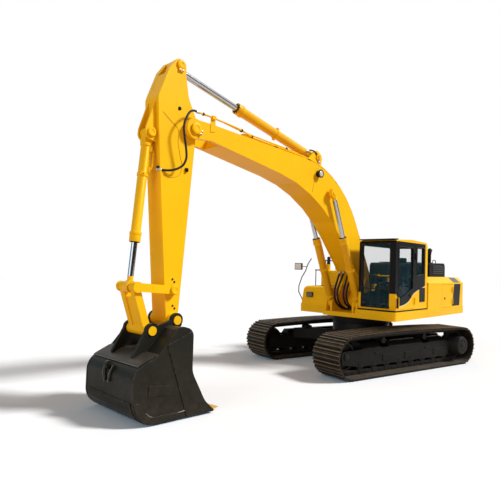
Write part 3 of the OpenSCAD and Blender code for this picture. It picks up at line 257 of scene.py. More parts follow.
def sweep(dz):
    """The sweeping line's height by place along it, raised by dz, as a limit for add_zone."""
    def build(g, place):
        curve = g.node("FloatCurve")
        line = curve.mapping.curves[0]
        line.points[0].location, line.points[1].location = SWEEP[0], SWEEP[-1]
        for p in SWEEP[1:-1]:
            line.points.new(*p)
        curve.mapping.update()
        g.feed(curve.inputs["Value"], g.ranged(place["X"], *SWEEP_X))
        return g.ranged(curve.outputs["Value"], 0.0, 1.0, SWEEP_Z[0] + dz, SWEEP_Z[1] + dz)
    return build


under_line, on_line = ("Z", None, sweep(0.0)), ("Z", sweep(SWEEP_LINE), None)
cab_paint = add_zone(
    surface("paint_cab", YELLOW, 0.38, coat=0.02, vary=0.03, gloss=0.09),
    (BLACK, (("Y", 1.4, None), ("X", -0.6, 0.94), ("Z", sweep(0.0), 3.04))),
    (PALE_LINE, (("Y", 1.4, None), ("X", -0.64, 0.94), on_line, under_line)),
    (BLACK, (("X", 0.9, None), ("Z", 1.82, 3.03))),
    (BLACK, (("Y", None, 0.56), ("X", -0.6, 0.95), ("Z", 1.72, 2.985))),
    (BLACK, (("X", None, -0.66), ("Y", 0.56, 1.4), ("Z", 2.1, 3.0))),
    (LINER, (("X", -0.725, 0.972), ("Y", 0.512, 1.455), ("Z", 1.43, 3.045))))
door_paint = add_zone(
    surface("paint_door", BLACK, 0.34, vary=0.1, gloss=0.09),
    (YELLOW, (("Y", 1.43, None), ("Z", None, sweep(SWEEP_LINE)))),
    (PALE_LINE, (("Y", 1.43, None), on_line, under_line)))


def glass(name, tint, alpha):
    """Tinted glass with a film that is uneven in gloss."""
    m, g = new_material(name)
    film = g.ranged(g.noise(g.place(), 6.0, 2.0, 0.5), 0.0, 1.0, 0.01, 0.09)
    g.feed_all(shader(m), {"Roughness": film, "Base Color": tint + (1.0,), "Alpha": alpha, "IOR": 1.5})
    return m


# Places in the house frame: x forward, z up, in metres. Pins are (x, z)
BOOM_LENGTH, BOOM_TURN = 6.469, math.radians(24.77)
ARM_LENGTH, ARM_TURN = 3.226, math.radians(-84.92)
TRACK_TURN = math.radians(-12.0)


def turned(origin, angle, x, z, y=0.0):
    c, s = math.cos(angle), math.sin(angle)
    return Vector((origin[0] + x * c - z * s, y, origin[1] + x * s + z * c))


def on_boom(x, z, y=0.0):
    return turned(FOOT, BOOM_TURN, x, z, y)


def on_arm(x, z, y=0.0):
    return turned(TIP, ARM_TURN, x, z, y)


def on_bucket(x, z, y=0.0):
    return turned(BUCKET, 0.0, x, z, y)


def on_tracks(x, y, z):
    return Matrix.Rotation(TRACK_TURN, 3, "Z") @ Vector((x, y, z))


FOOT = Vector((0.131, 1.944))
TIP = on_boom(BOOM_LENGTH, 0.0).xz
BUCKET = on_arm(ARM_LENGTH, 0.0).xz
BOOM_BASE, BOOM_EYE, ARM_BASE = Vector((0.815, 1.48)), Vector((1.99, 4.09)), Vector((2.3, 4.9))
ARM_EYE, BUCKET_BASE = on_arm(-1.004, 0.357).xz, on_arm(0.266, 0.734).xz
LINK_EYE, ROCKER_PIN = on_bucket(0.699, 0.538).xz, on_bucket(0.018, 0.487).xz

# Finishes of the CAD nodes, with their edges rounded off
ROD_EYE_R = 0.165


def rod_finish(name, eye):
    """Chrome with a painted eye at (x, z)."""
    m = surface("rod_" + name, CHROME, **CHROME_FINISH)
    g = Graph(m.node_tree)
    place = g.split(g.place())
    flat = g.node("CombineXYZ")
    g.feed_all(flat.inputs, {"X": place["X"], "Z": place["Z"]})
    away = g.vectors("DISTANCE", flat.outputs["Vector"], (eye[0], 0.0, eye[1]))
    near = g.maths("LESS_THAN", away, ROD_EYE_R)
    for part, painted, kind in (("Base Color", YELLOW + (1.0,), "RGBA"), ("Metallic", 0.0, "FLOAT"),
                                ("Roughness", 0.36, "FLOAT")):
        socket = shader(m)[part]
        before = socket.links[0].from_socket if socket.links else socket.default_value
        g.feed(socket, g.mixed(near, before, painted, kind))
    return m


BY_SLOT = {
    "yellow": yellow, "black": black, "dark": dark, "bucket": bucket_paint, "track": track_steel,
    "chrome": chrome, "plastic": plastic, "seat": cloth, "teeth": teeth_paint, "lamp": plastic,
    "mirror": plastic, "glass": glass("glass_tinted", (0.02, 0.12, 0.17), 0.09),
}
BY_NODE = {
    "cab_frame": cab_paint, "cab_door": door_paint, "carbody": frame_paint, "track_frame_left": frame_paint,
    "track_frame_right": frame_paint, "boom_barrels": shaded_barrel_paint, "arm_barrel": shaded_barrel_paint,
}
for name, eye in (("boom_rods", BOOM_EYE), ("arm_rod", ARM_EYE), ("bucket_rod", LINK_EYE)):
    BY_NODE[name] = rod_finish(name, eye)
SHARP_SLOTS, SHARP_NODES = ("glass", "seat", "chrome"), ("boom_pipes",)
WELD_GAP, EDGE_WIDTH, EDGE_ANGLE = 0.00005, 0.0045, math.radians(38.0)
for part in frame["record"]["subparts"]:
    node = nodes[part["node"]]
    finish = BY_NODE.get(part["node"]) or BY_SLOT[part["material_slot"]]
    if node.material_slots:
        for place in node.material_slots:
            place.material = finish
    else:
        node.data.materials.append(finish)
    if part["material_slot"] not in SHARP_SLOTS and part["node"] not in SHARP_NODES:
        weld = node.modifiers.new("weld", "WELD")
        weld.merge_threshold = WELD_GAP
        edges = node.modifiers.new("bevel", "BEVEL")
        edges.width, edges.segments = EDGE_WIDTH, 2
        edges.limit_method, edges.angle_limit = "ANGLE", EDGE_ANGLE


def circle(n):
    return [(math.cos(2 * math.pi * k / n), math.sin(2 * math.pi * k / n)) for k in range(n)]


def rectangle(u0, v0, u1, v1):
    return [(u0, v0), (u1, v0), (u1, v1), (u0, v1)]


def axes_along(axis):
    return Vector(axis).to_track_quat("Z", "Y").to_matrix()


class Shop:
    """Gathers turned, flat and swept shapes into one piece that rides on a body."""
    SMOOTH_ANGLE, BEVEL_ANGLE = math.radians(36.0), math.radians(40.0)

    def __init__(self, name, body, material, slot, bevel=0.0):
        self.name, self.body, self.material, self.slot, self.bevel = name, body, material, slot, bevel
        self.points, self.faces = [], []

    def rings(self, rings):
        """A closed skin over rings of points, with a face on each end."""
        n, first = len(rings[0]), len(self.points)
        faces = [[i * n + k, i * n + (k + 1) % n, (i + 1) * n + (k + 1) % n, (i + 1) * n + k]
                 for i in range(len(rings) - 1) for k in range(n)]
        faces += [list(range(n))[::-1], [(len(rings) - 1) * n + k for k in range(n)]]
        self.points += [tuple(p) for r in rings for p in r]
        self.faces += [[i + first for i in f] for f in faces]
        return self

    def prism(self, outline, depths, at):
        """An outline of (u, v) points carried through some depths, each put in place by at(u, v, depth)."""
        return self.rings([[at(u, v, d) for u, v in outline] for d in depths])

    def plate(self, outline, y0, y1):
        """An upright outline of (x, z) points between two sides."""
        return self.prism(outline, (y0, y1), lambda x, z, y: (x, y, z))

    def facing(self, outline, x0, x1):
        """An upright outline of (y, z) points that looks forward."""
        return self.prism(outline, (x0, x1), lambda y, z, x: (x, y, z))

    def box(self, low, high):
        (x0, y0, z0), (x1, y1, z1) = low, high
        return self.prism(rectangle(x0, y0, x1, y1), (z0, z1), lambda x, y, z: (x, y, z))

    def lathe(self, at, axis, profile, n=24):
        """A turned shape: profile of (distance along, radius)."""
        at, turn = Vector(at), axes_along(axis)
        return self.rings([[at + turn @ Vector((r * c, r * s, d)) for c, s in circle(n)] for d, r in profile])

    def rod(self, a, b, r, n=14):
        a, b = Vector(a), Vector(b)
        length, lip = (b - a).length, r * 0.14
        self.lathe(a, b - a, [(0.0, r - lip), (lip, r), (length - lip, r), (length, r - lip)], n)

    def bolt(self, at, axis, r):
        """A six sided head on its washer."""
        self.lathe(at, axis, [(-0.002, r * 1.5), (r * 0.22, r * 1.5), (r * 0.3, r * 1.35)], 16)
        self.lathe(at, axis, [(r * 0.25, r), (r * 0.95, r), (r * 1.1, r * 0.8)], 6)

    def ring_of_bolts(self, at, axis, radius, count, r):
        turn = axes_along(axis)
        for c, s in circle(count):
            self.bolt(Vector(at) + turn @ Vector((radius * c, radius * s, 0.0)), axis, r)

    def tube(self, path, r, n):
        """A round tube of n sides along a path."""
        path = [Vector(p) for p in path]
        side_way = None
        rings = []
        for i, p in enumerate(path):
            along = (path[min(i + 1, len(path) - 1)] - path[max(i - 1, 0)]).normalized()
            if side_way is None:
                side_way = along.orthogonal().normalized()
            side_way = (side_way - along * side_way.dot(along)).normalized()
            other = along.cross(side_way)
            rings.append([p + r * (side_way * c + other * s) for c, s in circle(n)])
        return self.rings(rings)

    def place(self):
        mesh = bpy.data.meshes.new(self.name)
        mesh.from_pydata(self.points, [], self.faces)
        edit = bmesh.new()
        edit.from_mesh(mesh)
        bmesh.ops.recalc_face_normals(edit, faces=edit.faces[:])
        edit.to_mesh(mesh)
        edit.free()
        for p in mesh.polygons:
            p.use_smooth = True
        mesh.set_sharp_from_angle(angle=self.SMOOTH_ANGLE)
        mesh.materials.append(self.material)
        piece = bpy.data.objects.new(self.name, mesh)
        scene.collection.objects.link(piece)
        if self.bevel:
            edge = piece.modifiers.new("bevel", "BEVEL")
            edge.width, edge.segments = self.bevel, 2
            edge.limit_method, edge.angle_limit = "ANGLE", self.BEVEL_ANGLE
        if self.body:
            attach(piece, self.body)
        return piece


def place_all(*shops):
    for shop in shops:
        shop.place()


def sided(points, s):
    return [(x, s * y, z) for x, y, z in points]


def smooth_path(points, n=6):
    """A curve through the points, in n steps from each to the next."""
    p = [Vector(q) for q in points]
    p = [2 * p[0] - p[1]] + p + [2 * p[-1] - p[-2]]
    out = []
    for i in range(1, len(p) - 2):
        a, b, c, d = p[i - 1:i + 3]
        for k in range(n):
            t = k / n
            out.append(0.5 * (2 * b + (c - a) * t + (2 * a - 5 * b + 4 * c - d) * t * t
                              + (3 * b - a - 3 * c + d) * t ** 3))
    return out + [p[-2]]


# Hoses: over the boom's tip to the arm, at the arm cylinder's base, and from the deck to the boom's foot
HOSE_STEPS = 38
CRIMP_NUT = ((0.0, 0.8), (0.006, 1.05), (0.028, 1.05), (0.03, 0.75))
CRIMP_SLEEVE = ((-0.002, 0.8), (0.004, 1.28), (0.05, 1.28), (0.056, 1.08))


def hose(name, points, r, first, last):
    """A rubber hose between crimped fittings on two bodies."""
    path = smooth_path(points, HOSE_STEPS // (len(points) - 1))
    piece = Shop(name, None, rubber, "black").tube(path, r, 12).place()
    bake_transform(piece)
    for tag, body, a, b in (("a", first, path[0], path[1]), ("b", last, path[-1], path[-2])):
        way = (b - a).normalized()
        crimp = Shop(name + "_crimp_" + tag, body, steel, "chrome")
        crimp.lathe(a - way * 0.03, way, [(d, r * k) for d, k in CRIMP_NUT], 6)
        crimp.lathe(a, way, [(d, r * k) for d, k in CRIMP_SLEEVE], 16)
        crimp.place()


TIP_HOSE = ((6.636, 0.15, 3.872), (6.56, 0.196, 3.864), (6.46, 0.252, 3.872), (6.35, 0.3, 3.914),
            (6.262, 0.33, 3.99), (6.222, 0.35, 4.11), (6.247, 0.364, 4.26), (6.294, 0.372, 4.468),
            (6.308, 0.372, 4.629), (6.25, 0.362, 4.78), (6.165, 0.338, 4.893), (6.06, 0.312, 4.944),
            (5.956, 0.3, 4.94))
CYLINDER_HOSE = ((2.285, 0.176, 4.76), (2.298, 0.182, 4.845), (2.345, 0.176, 4.935), (2.44, 0.158, 5.002),
                 (2.555, 0.136, 5.014), (2.66, 0.118, 4.976))
FOOT_HOSES = ((-0.19, 0.0), (-0.07, 0.05), (0.06, -0.02), (0.18, 0.04))
for side_name, s in NAMED_SIDES:
    hose("tip_hose_" + side_name, sided(TIP_HOSE, s), 0.019, "arm", "boom")
    hose("cylinder_hose_" + side_name, sided(CYLINDER_HOSE, s), 0.016, "boom", "arm_barrel")
for i, (y, out) in enumerate(FOOT_HOSES):
    hose("foot_hose_%d" % i, (
        (0.43, y, 1.327), (0.56, y, 1.345), (0.74 + out, y, 1.41), (0.9 + out, y, 1.53),
        (0.975 + out, y, 1.7), (0.95 + out, y, 1.88), (0.866 + out / 2, y, 2.06), (0.748, y, 2.288)),
        0.025, "upper", "boom")

# Tracks: bolts on the shoes, brown caps on their grousers, worn and with a painted highlight, link plates and
# pins
GAUGE, WHEELS, PITCH_R, SHOES = 2.59, 4.03, 0.367, 48
PITCH_Z, RISE = 0.103, 0.042
AXLE_Z, ARC = PITCH_Z + PITCH_R, math.pi * PITCH_R
LOOP = 2 * WHEELS + 2 * ARC
PITCH = LOOP / SHOES
SHOE_FACE = 0.066
SHOE_BOLTS = [(t, y) for t in (-0.036, 0.036) for y in (-0.08, 0.08)]
LINK_R, LINK_REACH, LINK_DROP = 0.043, 0.465 * PITCH, 0.004
LINK_PLATE = [(flip * (LINK_R * math.cos(a) - LINK_REACH), flip * LINK_R * math.sin(a))
              for flip in SIDES for a in [math.pi * (0.5 + k / 6.0) for k in range(7)]]
RIDGE = ((-0.0105, 0.09), (0.0105, 0.09), (0.0098, 0.1036), (-0.0098, 0.1036))
RIDGE_ENDS = (-0.399, 0.399)


def track_at(s):
    """Place (x, z) and turn of the track's pitch line at a distance along it."""
    s %= LOOP
    if s < WHEELS:
        return s - WHEELS / 2, PITCH_Z, 0.0
    s -= WHEELS
    if s < ARC:
        a = s / PITCH_R
        return WHEELS / 2 + PITCH_R * math.sin(a), AXLE_Z - PITCH_R * math.cos(a), a
    s -= ARC
    if s < WHEELS:
        return WHEELS / 2 - s, AXLE_Z + PITCH_R + RISE * math.sin(math.pi * s / WHEELS), math.pi
    a = math.pi + (s - WHEELS) / PITCH_R
    return -WHEELS / 2 + PITCH_R * math.sin(a), AXLE_Z - PITCH_R * math.cos(a), a


def beside_track(side, s, t, n, y):
    """A place t along and n outwards from the pitch line at s, and y from the track's middle."""
    x, z, a = track_at(s)
    c, k = math.cos(a), math.sin(a)
    return on_tracks(x + t * c + n * k, side * GAUGE / 2 + y, z + t * k - n * c)


for side_name, side in NAMED_SIDES:
    bolts = Shop("shoe_bolts_" + side_name, "undercarriage", track_steel, "track")
    links = Shop("track_links_" + side_name, "undercarriage", dark, "dark", 0.003)
    worn_and_highlit_ridges = Shop("shoe_ridge_wear_and_highlight_" + side_name, "undercarriage", ridge_wear_and_highlight, "track")
    for i in range(SHOES):
        s = i * PITCH
        for t, y in SHOE_BOLTS:
            foot = beside_track(side, s, t, SHOE_FACE, y)
            up = beside_track(side, s, t, SHOE_FACE + 0.1, y) - foot
            bolts.lathe(foot, up, [(-0.002, 0.017), (0.012, 0.017), (0.015, 0.013)], 6)
        for y in (-1.0, 1.0):
            links.prism(LINK_PLATE, (0.104, 0.117),
                        lambda t, n, d: beside_track(side, s, t, n - LINK_DROP, y * d))
            at = beside_track(side, s + PITCH / 2, 0.0, -LINK_DROP, y * 0.115)
            links.lathe(at, on_tracks(0.0, y, 0.0), [(0.0, 0.026), (0.01, 0.026), (0.013, 0.02)], 12)
    for i in range(3 * SHOES):
        s = i * PITCH / 3
        worn_and_highlit_ridges.prism(RIDGE, RIDGE_ENDS, lambda t, n, y: beside_track(side, s, t, n, y))
    place_all(bolts, links, worn_and_highlit_ridges)

# Undercarriage: bolts and covers on the track frames, a guard by each drive motor that also fills the shaded
# gap above the frame with black, hubs and swing bearing
FRAME_OUTSIDE, FRAME_INSIDE, DRIVE_FACE = 0.165, -0.17, 0.372
SLOT_COVER = ((-0.1, -0.022), (0.1, -0.022), (0.12, 0.0), (0.1, 0.022), (-0.1, 0.022), (-0.12, 0.0))
# A black guard inside each track frame by the drive end, which also puts black where the gap above the frame
# lies in shade
SHADED_GAP_GUARD = ((-1.1, 0.59), (-1.1, 0.66), (-1.25, 0.74), (-1.7, 0.74), (-1.78, 0.66), (-1.78, 0.56))
hub = Shop("hub_bolts", "undercarriage", dark, "dark")
covers = Shop("frame_covers", "undercarriage", frame_paint, "black", 0.003)
for s in SIDES:
    out = on_tracks(0.0, s, 0.0)
    face, inner, drive = [s * (GAUGE / 2 + d) for d in (FRAME_OUTSIDE, FRAME_INSIDE, DRIVE_FACE)]
    hub.ring_of_bolts(on_tracks(-WHEELS / 2, drive, AXLE_Z), out, 0.13, 12, 0.013)
    hub.lathe(on_tracks(-WHEELS / 2, drive - s * 0.001, AXLE_Z), out,
              [(0.0, 0.07), (0.012, 0.066), (0.018, 0.05)])
    hub.lathe(on_tracks(WHEELS / 2, face, AXLE_Z), out, [(-0.004, 0.075), (0.014, 0.072), (0.02, 0.055)])
    for mid in (1.01, -0.81):
        covers.prism(SLOT_COVER, (-0.002, 0.016), lambda u, v, d: on_tracks(mid + u, face + s * d, 0.485 + v))
    for x0, x1 in ((0.24, 0.86), (-0.55, 0.07), (-1.62, -1.04)):
        covers.prism(rectangle(x0, 0.29, x1, 0.44), (-0.002, 0.01),
                     lambda x, z, d: on_tracks(x, face + s * d, z))
        for x in (x0 + 0.03, x1 - 0.03):
            for z in (0.315, 0.415):
                hub.bolt(on_tracks(x, face + s * 0.01, z), out, 0.012)
    for x in (1.62, 1.8, 2.0):
        hub.bolt(on_tracks(x, face, 0.3), out, 0.014)
    covers.prism(SHADED_GAP_GUARD, (0.0, 0.16), lambda x, z, d: on_tracks(x, inner - s * d, z))
hub.ring_of_bolts((0.0, 0.0, 1.035), (0.0, 0.0, -1.0), 0.68, 36, 0.016)
place_all(hub, covers)

# Caps on the pins' ends, some with a bolted keeper plate
PIN_CAP = ((-0.003, 1.0), (0.016, 1.0), (0.024, 0.86), (0.024, 0.5), (0.017, 0.42))
KEEPER_BOLTS, KEEPER_THICK = (-0.028, 0.028), 0.016
caps = {}


def pin_cap(body, p, y, r, keeper=None):
    """Caps at both ends of the pin at (x, z). keeper is the way that its plate points, as (x, z)."""
    cap, bolts = caps.setdefault(body, (Shop("pin_caps_" + body, body, yellow, "yellow", 0.002),
                                        Shop("keeper_bolts_" + body, body, steel, "chrome")))
    for s in SIDES:
        at, out = Vector((p[0], s * y, p[1])), Vector((0.0, s, 0.0))
        cap.lathe(at, out, [(d, r * k) for d, k in PIN_CAP], 32)
        if keeper:
            w = Vector((keeper[0], 0.0, keeper[1])).normalized()
            u = Vector((-w.z, 0.0, w.x))
            cap.prism(rectangle(r * 0.72, -0.05, r * 1.45, 0.05), (-0.003, KEEPER_THICK),
                      lambda a, b, d: at + w * a + u * b + out * d)
            for b in KEEPER_BOLTS:
                bolts.bolt(at + w * r * 1.24 + u * b + out * KEEPER_THICK, out, 0.012)


pin_cap("boom", TIP, 0.322, 0.098, (-1.0, -0.55))
pin_cap("upper", FOOT, 0.366, 0.085, (-1.0, 0.3))
pin_cap("boom", ARM_BASE, 0.169, 0.075)
pin_cap("upper", BOOM_BASE, 0.48, 0.075)
pin_cap("arm", BUCKET_BASE, 0.131, 0.075)
pin_cap("arm", ARM_EYE, 0.203, 0.08, (0.0, -1.0))
pin_cap("arm", ROCKER_PIN, 0.271, 0.078)
pin_cap("bucket_link", LINK_EYE, 0.207, 0.07)
place_all(*[shop for pair in caps.values() for shop in pair if shop.points])

# Boom and arm: pipes with their bracket and collars, weld seams on the arm, a dark line painted as the boom
# lamp's shadow, and small fittings
ARM_SIDE, BOOM_SIDE = 0.19, 0.28
TIP_PIPE = [tuple(on_boom(*p)) for p in ((5.14, 0.8, 0.242), (5.33, 0.74, 0.258), (5.62, 0.655, 0.285))] + [
    (5.612, 0.298, 4.934), (5.76, 0.3, 4.94), (5.945, 0.3, 4.94)]
UPPER_PIPE = ((5.625, 0.255, 4.945), (5.5, 0.252, 4.955), (4.904, 0.245, 4.89), (4.204, 0.245, 4.854),
              (3.384, 0.245, 4.819), (2.932, 0.245, 4.757), (2.638, 0.245, 4.682))
TIP_COLLAR = [(0.0, 0.02), (0.004, 0.027), (0.03, 0.027), (0.034, 0.02)]
UPPER_COLLAR = [(0.0, 0.016), (0.004, 0.024), (0.05, 0.024), (0.054, 0.016)]
BRACKET = [(5.555, 4.7), (5.66, 4.68), (5.665, 4.8), (5.655, 4.965), (5.565, 4.965), (5.55, 4.8)]
tip_pipes = Shop("boom_tip_pipes", "boom", yellow, "yellow")
collars = Shop("boom_pipe_collars", "boom", dark, "dark")
for s in SIDES:
    for pipe, steps, r, places, collar in ((TIP_PIPE, 5, 0.0165, (3, 9, 22), TIP_COLLAR),
                                           (UPPER_PIPE, 4, 0.0135, (8, 15, 23), UPPER_COLLAR)):
        path = smooth_path(sided(pipe, s), steps)
        tip_pipes.tube(path, r, 12)
        for i in places:
            collars.lathe(path[i], path[i + 1] - path[i], collar, 6)
    tip_pipes.plate(BRACKET, s * 0.279, s * 0.291)
    tip_pipes.plate(rectangle(5.57, 4.905, 5.65, 4.966), s * 0.288, s * 0.326)
place_all(tip_pipes, collars)

ARM_SEAM = ((6.6, 4.812), (6.452, 4.707), (6.283, 4.585), (6.282, 4.375), (6.222, 4.133), (6.188, 4.004),
            (6.217, 3.863), (6.307, 3.796), (6.432, 3.768), (6.56, 3.792))
# A dark orange line down the boom from under its lamp: the lamp's painted shadow
BOOM_LAMP_SHADOW_LINE = ((2.561, 4.373), (2.607, 4.202), (2.652, 4.04))
ARM_PORT = [(-0.002, 0.012), (0.012, 0.012), (0.016, 0.006), (0.026, 0.006)]
TAIL_COVER = ((-0.515, 0.671), (-0.79, 0.593), (-0.79, 0.573), (-0.515, 0.651))
arm_welds = Shop("arm_welds", "arm", seam_and_shadow_paint, "yellow")
boom_lamp_shadow_line = Shop("boom_lamp_shadow_line", "boom", seam_and_shadow_paint, "yellow")
small = Shop("arm_fittings", "arm", dark, "dark")
for s in SIDES:
    out, side = (0.0, s, 0.0), s * ARM_SIDE
    arm_welds.tube(smooth_path([(x, side, z) for x, z in ARM_SEAM], 4), 0.005, 8)
    boom_lamp_shadow_line.tube([(x, s * BOOM_SIDE, z) for x, z in BOOM_LAMP_SHADOW_LINE], 0.006, 8)
    small.bolt((6.27, side, 4.951), out, 0.022)
    small.plate(rectangle(6.07, 3.915, 6.12, 3.975), side, s * 0.222)
    for z in (3.93, 3.96):
        small.lathe((6.095, s * 0.222, z), out, ARM_PORT, 8)
    for x, z in ((6.286, 2.076), (6.267, 1.64)):
        small.bolt((x - 0.02, side, z - 0.02), out, 0.013)
        small.bolt((x + 0.02, side, z + 0.025), out, 0.013)
    small.prism(rectangle(0.782, 0.5, 0.842, 0.575), (s * 0.115, s * 0.165), on_arm)
place_all(arm_welds, boom_lamp_shadow_line, small)
Shop("arm_tail_cover", "arm", yellow, "yellow", 0.003).prism(TAIL_COVER, (-0.1, 0.1), on_arm).place()

# Cylinders: end rings, glands, ports with their pipe, and the pipe's clamp.
# Each has its barrel radius, distance to the gland, lean of the pipe, distances to the ports and to the clamp
CYLINDERS = (
    ("boom", "boom_barrels", BOOM_BASE, BOOM_EYE, (-0.385, 0.385), 0.086, 1.77, (1.0, 0.0), (0.3, 1.53), 0.9),
    ("arm", "arm_barrel", ARM_BASE, ARM_EYE, (0.0,), 0.098, 2.53, (0.35, -0.94), (0.4, 2.28), 1.31),
    ("bucket", "bucket_barrel", BUCKET_BASE, LINK_EYE, (0.0,), 0.078, 1.775, (-0.75, 0.66), (0.26, 0.6),
     0.66),
)
for name, body, base, eye, middles, r, gland, lean, port, clamp in CYLINDERS:
    rings = Shop("gland_" + name, body, yellow, "yellow", 0.002)
    studs = Shop("gland_bolts_" + name, body, dark, "dark")
    wiper = Shop("gland_wiper_" + name, body, rubber, "black")
    a = Vector((base[0], 0.0, base[1]))
    way = (Vector((eye[0], 0.0, eye[1])) - a).normalized()
    across = Vector(TO_LEFT)
    up = way.cross(across)
    if up.z < 0:
        up = -up
    up, across = up * lean[0] + across * lean[1], across * lean[0] - up * lean[1]
    for y in middles:
        here = a + Vector((0.0, y, 0.0))
        for d, ring in (
                (0.166, [(0.0, r * 0.9), (0.004, r + 0.012), (0.05, r + 0.012), (0.058, r - 0.004)]),
                (gland - 0.16, [(0.0, r - 0.004), (0.006, r + 0.018), (0.05, r + 0.018), (0.056, r + 0.004)]),
                (clamp, [(0.0, r - 0.004), (0.003, r + 0.01), (0.057, r + 0.01), (0.06, r - 0.004)])):
            rings.lathe(here + way * d, way, ring, 32)
        clamp_mid = here + way * (clamp + 0.03)
        for k in SIDES:
            rings.prism(rectangle(-0.026, -0.022, 0.026, 0.022), (0.0, 0.04),
                        lambda u, v, h: clamp_mid + way * u + across * k * (r - 0.005 + h) + up * v)
            studs.bolt(clamp_mid + across * k * (r + 0.018) + up * 0.022, up, 0.01)
        studs.ring_of_bolts(here + way * gland, way, r * 0.88, 10, 0.01)
        wiper.lathe(here + way * (gland - 0.004), way,
                    [(0.0, r * 0.76), (0.014, r * 0.74), (0.018, r * 0.66)], 28)
        for d in port:
            rings.prism(rectangle(-0.045, -0.035, 0.045, 0.035), (0.0, 0.045),
                        lambda u, v, h: here + way * (d + u) + up * (r - 0.01 + h) + across * v)
        rings.tube(smooth_path([here + way * d + up * (r + h) for d, h in (
            (port[0], 0.034), (port[0] + 0.05, 0.056), (port[0] + 0.11, 0.06), (port[1] - 0.11, 0.06),
            (port[1] - 0.05, 0.056), (port[1], 0.034))], 4), 0.014, 10)
    place_all(rings, studs, wiper)

# Cab: rubber round the panes, wiper, controls, floor, base strip, door handle and grab rail
SEAL_R = 0.01
CAB_INSIDE, CAB_FLOOR = (0.58, 1.385), 1.47
seals = Shop("cab_seals", "upper", rubber, "black")
door_seals = Shop("door_seals", "cab_door", rubber, "black")


def seal_round(shop, corners, r):
    """A rubber seal along a pane's corners, rounded by r."""
    loop = []
    for i, c in enumerate(corners):
        c, before, after = Vector(c), Vector(corners[i - 1]), Vector(corners[(i + 1) % len(corners)])
        a, b = c + (before - c).normalized() * r, c + (after - c).normalized() * r
        loop += [a.lerp(c, t).lerp(c.lerp(b, t), t) for t in (0.0, 0.25, 0.5, 0.75, 1.0)]
    shop.tube(loop + loop[:1], SEAL_R, 8)


SEALS = (
    (seals, 0.04, [(-0.52, 1.46, 2.29), (-0.12, 1.46, 2.23), (-0.12, 1.46, 2.945), (-0.52, 1.46, 2.945)]),
    (seals, 0.06, [(-0.58, 0.507, 1.95), (0.88, 0.507, 1.75), (0.87, 0.507, 2.955), (-0.58, 0.507, 2.955)]),
    (seals, 0.03, [(-0.73, 0.617, 2.15), (-0.73, 1.35, 2.15), (-0.73, 1.35, 2.949), (-0.73, 0.617, 2.949)]),
    (seals, 0.03, [(0.988, 0.572, 1.478), (0.988, 1.31, 1.478), (0.981, 1.31, 2.998), (0.981, 0.572, 2.998)]),
    (door_seals, 0.06, [(0.09, 1.46, 1.93), (0.84, 1.46, 1.64), (0.83, 1.46, 2.915), (0.09, 1.46, 2.915)]),
)
for shop, r, corners in SEALS:
    seal_round(shop, corners, r)
place_all(seals, door_seals)

ARMREST = [(-0.25, 2.0), (0.27, 2.0), (0.3, 2.03), (0.27, 2.06), (-0.25, 2.06), (-0.28, 2.03)]
LEVER_BOOT = [(0.0, 0.05), (0.02, 0.046), (0.03, 0.05), (0.05, 0.04), (0.06, 0.043), (0.09, 0.03),
              (0.1, 0.022)]
LEVER_GRIP = [(0.0, 0.02), (0.02, 0.032), (0.07, 0.034), (0.1, 0.028), (0.115, 0.014)]
PEDAL = [(0.74, 1.5), (0.86, 1.5), (0.9, 1.56), (0.88, 1.58), (0.8, 1.53), (0.74, 1.53)]
PEDAL_GRIP = [(0.0, 0.016), (0.02, 0.026), (0.1, 0.028), (0.12, 0.018)]
trim = Shop("cab_fittings", "upper", plastic, "plastic", 0.003)
trim.rod((0.985, 0.66, 1.6), (0.985, 0.6, 2.35), 0.009)
trim.box((0.978, 0.59, 2.1), (0.992, 0.612, 2.7))
trim.lathe((0.985, 0.66, 1.57), (1.0, 0.0, 0.0), [(-0.02, 0.035), (0.012, 0.035), (0.02, 0.024)], 20)
trim.box((0.972, 0.572, 1.905), (0.986, 1.31, 1.935))
trim.plate([(0.6, 2.04), (0.66, 2.02), (0.7, 2.24), (0.645, 2.255)], 0.6, 0.8)
trim.rod((0.64, 0.63, 1.5), (0.64, 0.63, 2.06), 0.02)
for y in (0.66, 1.31):
    trim.plate(ARMREST, y - 0.045, y + 0.045)
    trim.lathe((0.32, y, 1.955), TO_SKY, LEVER_BOOT, 20)
    trim.lathe((0.32, y, 2.1), TO_SKY, LEVER_GRIP, 16)
for y, grip_y in ((0.86, 0.86), (1.1, 1.103)):
    trim.plate(PEDAL, y - 0.06, y + 0.06)
    trim.lathe((0.62, grip_y, 1.95), TO_SKY, PEDAL_GRIP, 14)
trim.plate(rectangle(-0.66, CAB_FLOOR, 0.9, CAB_FLOOR + 0.012), *CAB_INSIDE)
trim.plate([(-0.66, 1.48), (-0.42, 1.48), (-0.42, 2.02), (-0.5, 2.1), (-0.66, 2.1)], *CAB_INSIDE)
trim.place()

strip = Shop("cab_base_strip", "upper", black, "black", 0.002)
strip.box((0.985, 0.505, 1.402), (1.006, 1.464, 1.432))
strip.box((-0.73, 1.452, 1.402), (1.006, 1.466, 1.432))
handle = Shop("cab_door_handle", "cab_door", plastic, "plastic", 0.003)
handle.plate([(0.115, 1.78), (0.27, 1.74), (0.28, 1.8), (0.125, 1.845)], 1.458, 1.472)
handle.plate([(0.135, 1.79), (0.26, 1.757), (0.262, 1.778), (0.137, 1.812)], 1.47, 1.492)
handle.lathe((0.2, 1.47, 1.735), TO_LEFT, [(-0.012, 0.014), (0.006, 0.014), (0.01, 0.01)], 16)
GRAB_X, GRAB_Z = 0.93, (1.5, 1.74)
GRAB_RAIL = ((1.455, 1.74), (1.495, 1.74), (1.515, 1.72), (1.515, 1.62), (1.515, 1.52),
             (1.495, 1.5), (1.455, 1.5))
grab = Shop("cab_grab_rail", "upper", yellow, "yellow")
grab.tube(smooth_path([(GRAB_X, y, z) for y, z in GRAB_RAIL], 5), 0.013, 12)
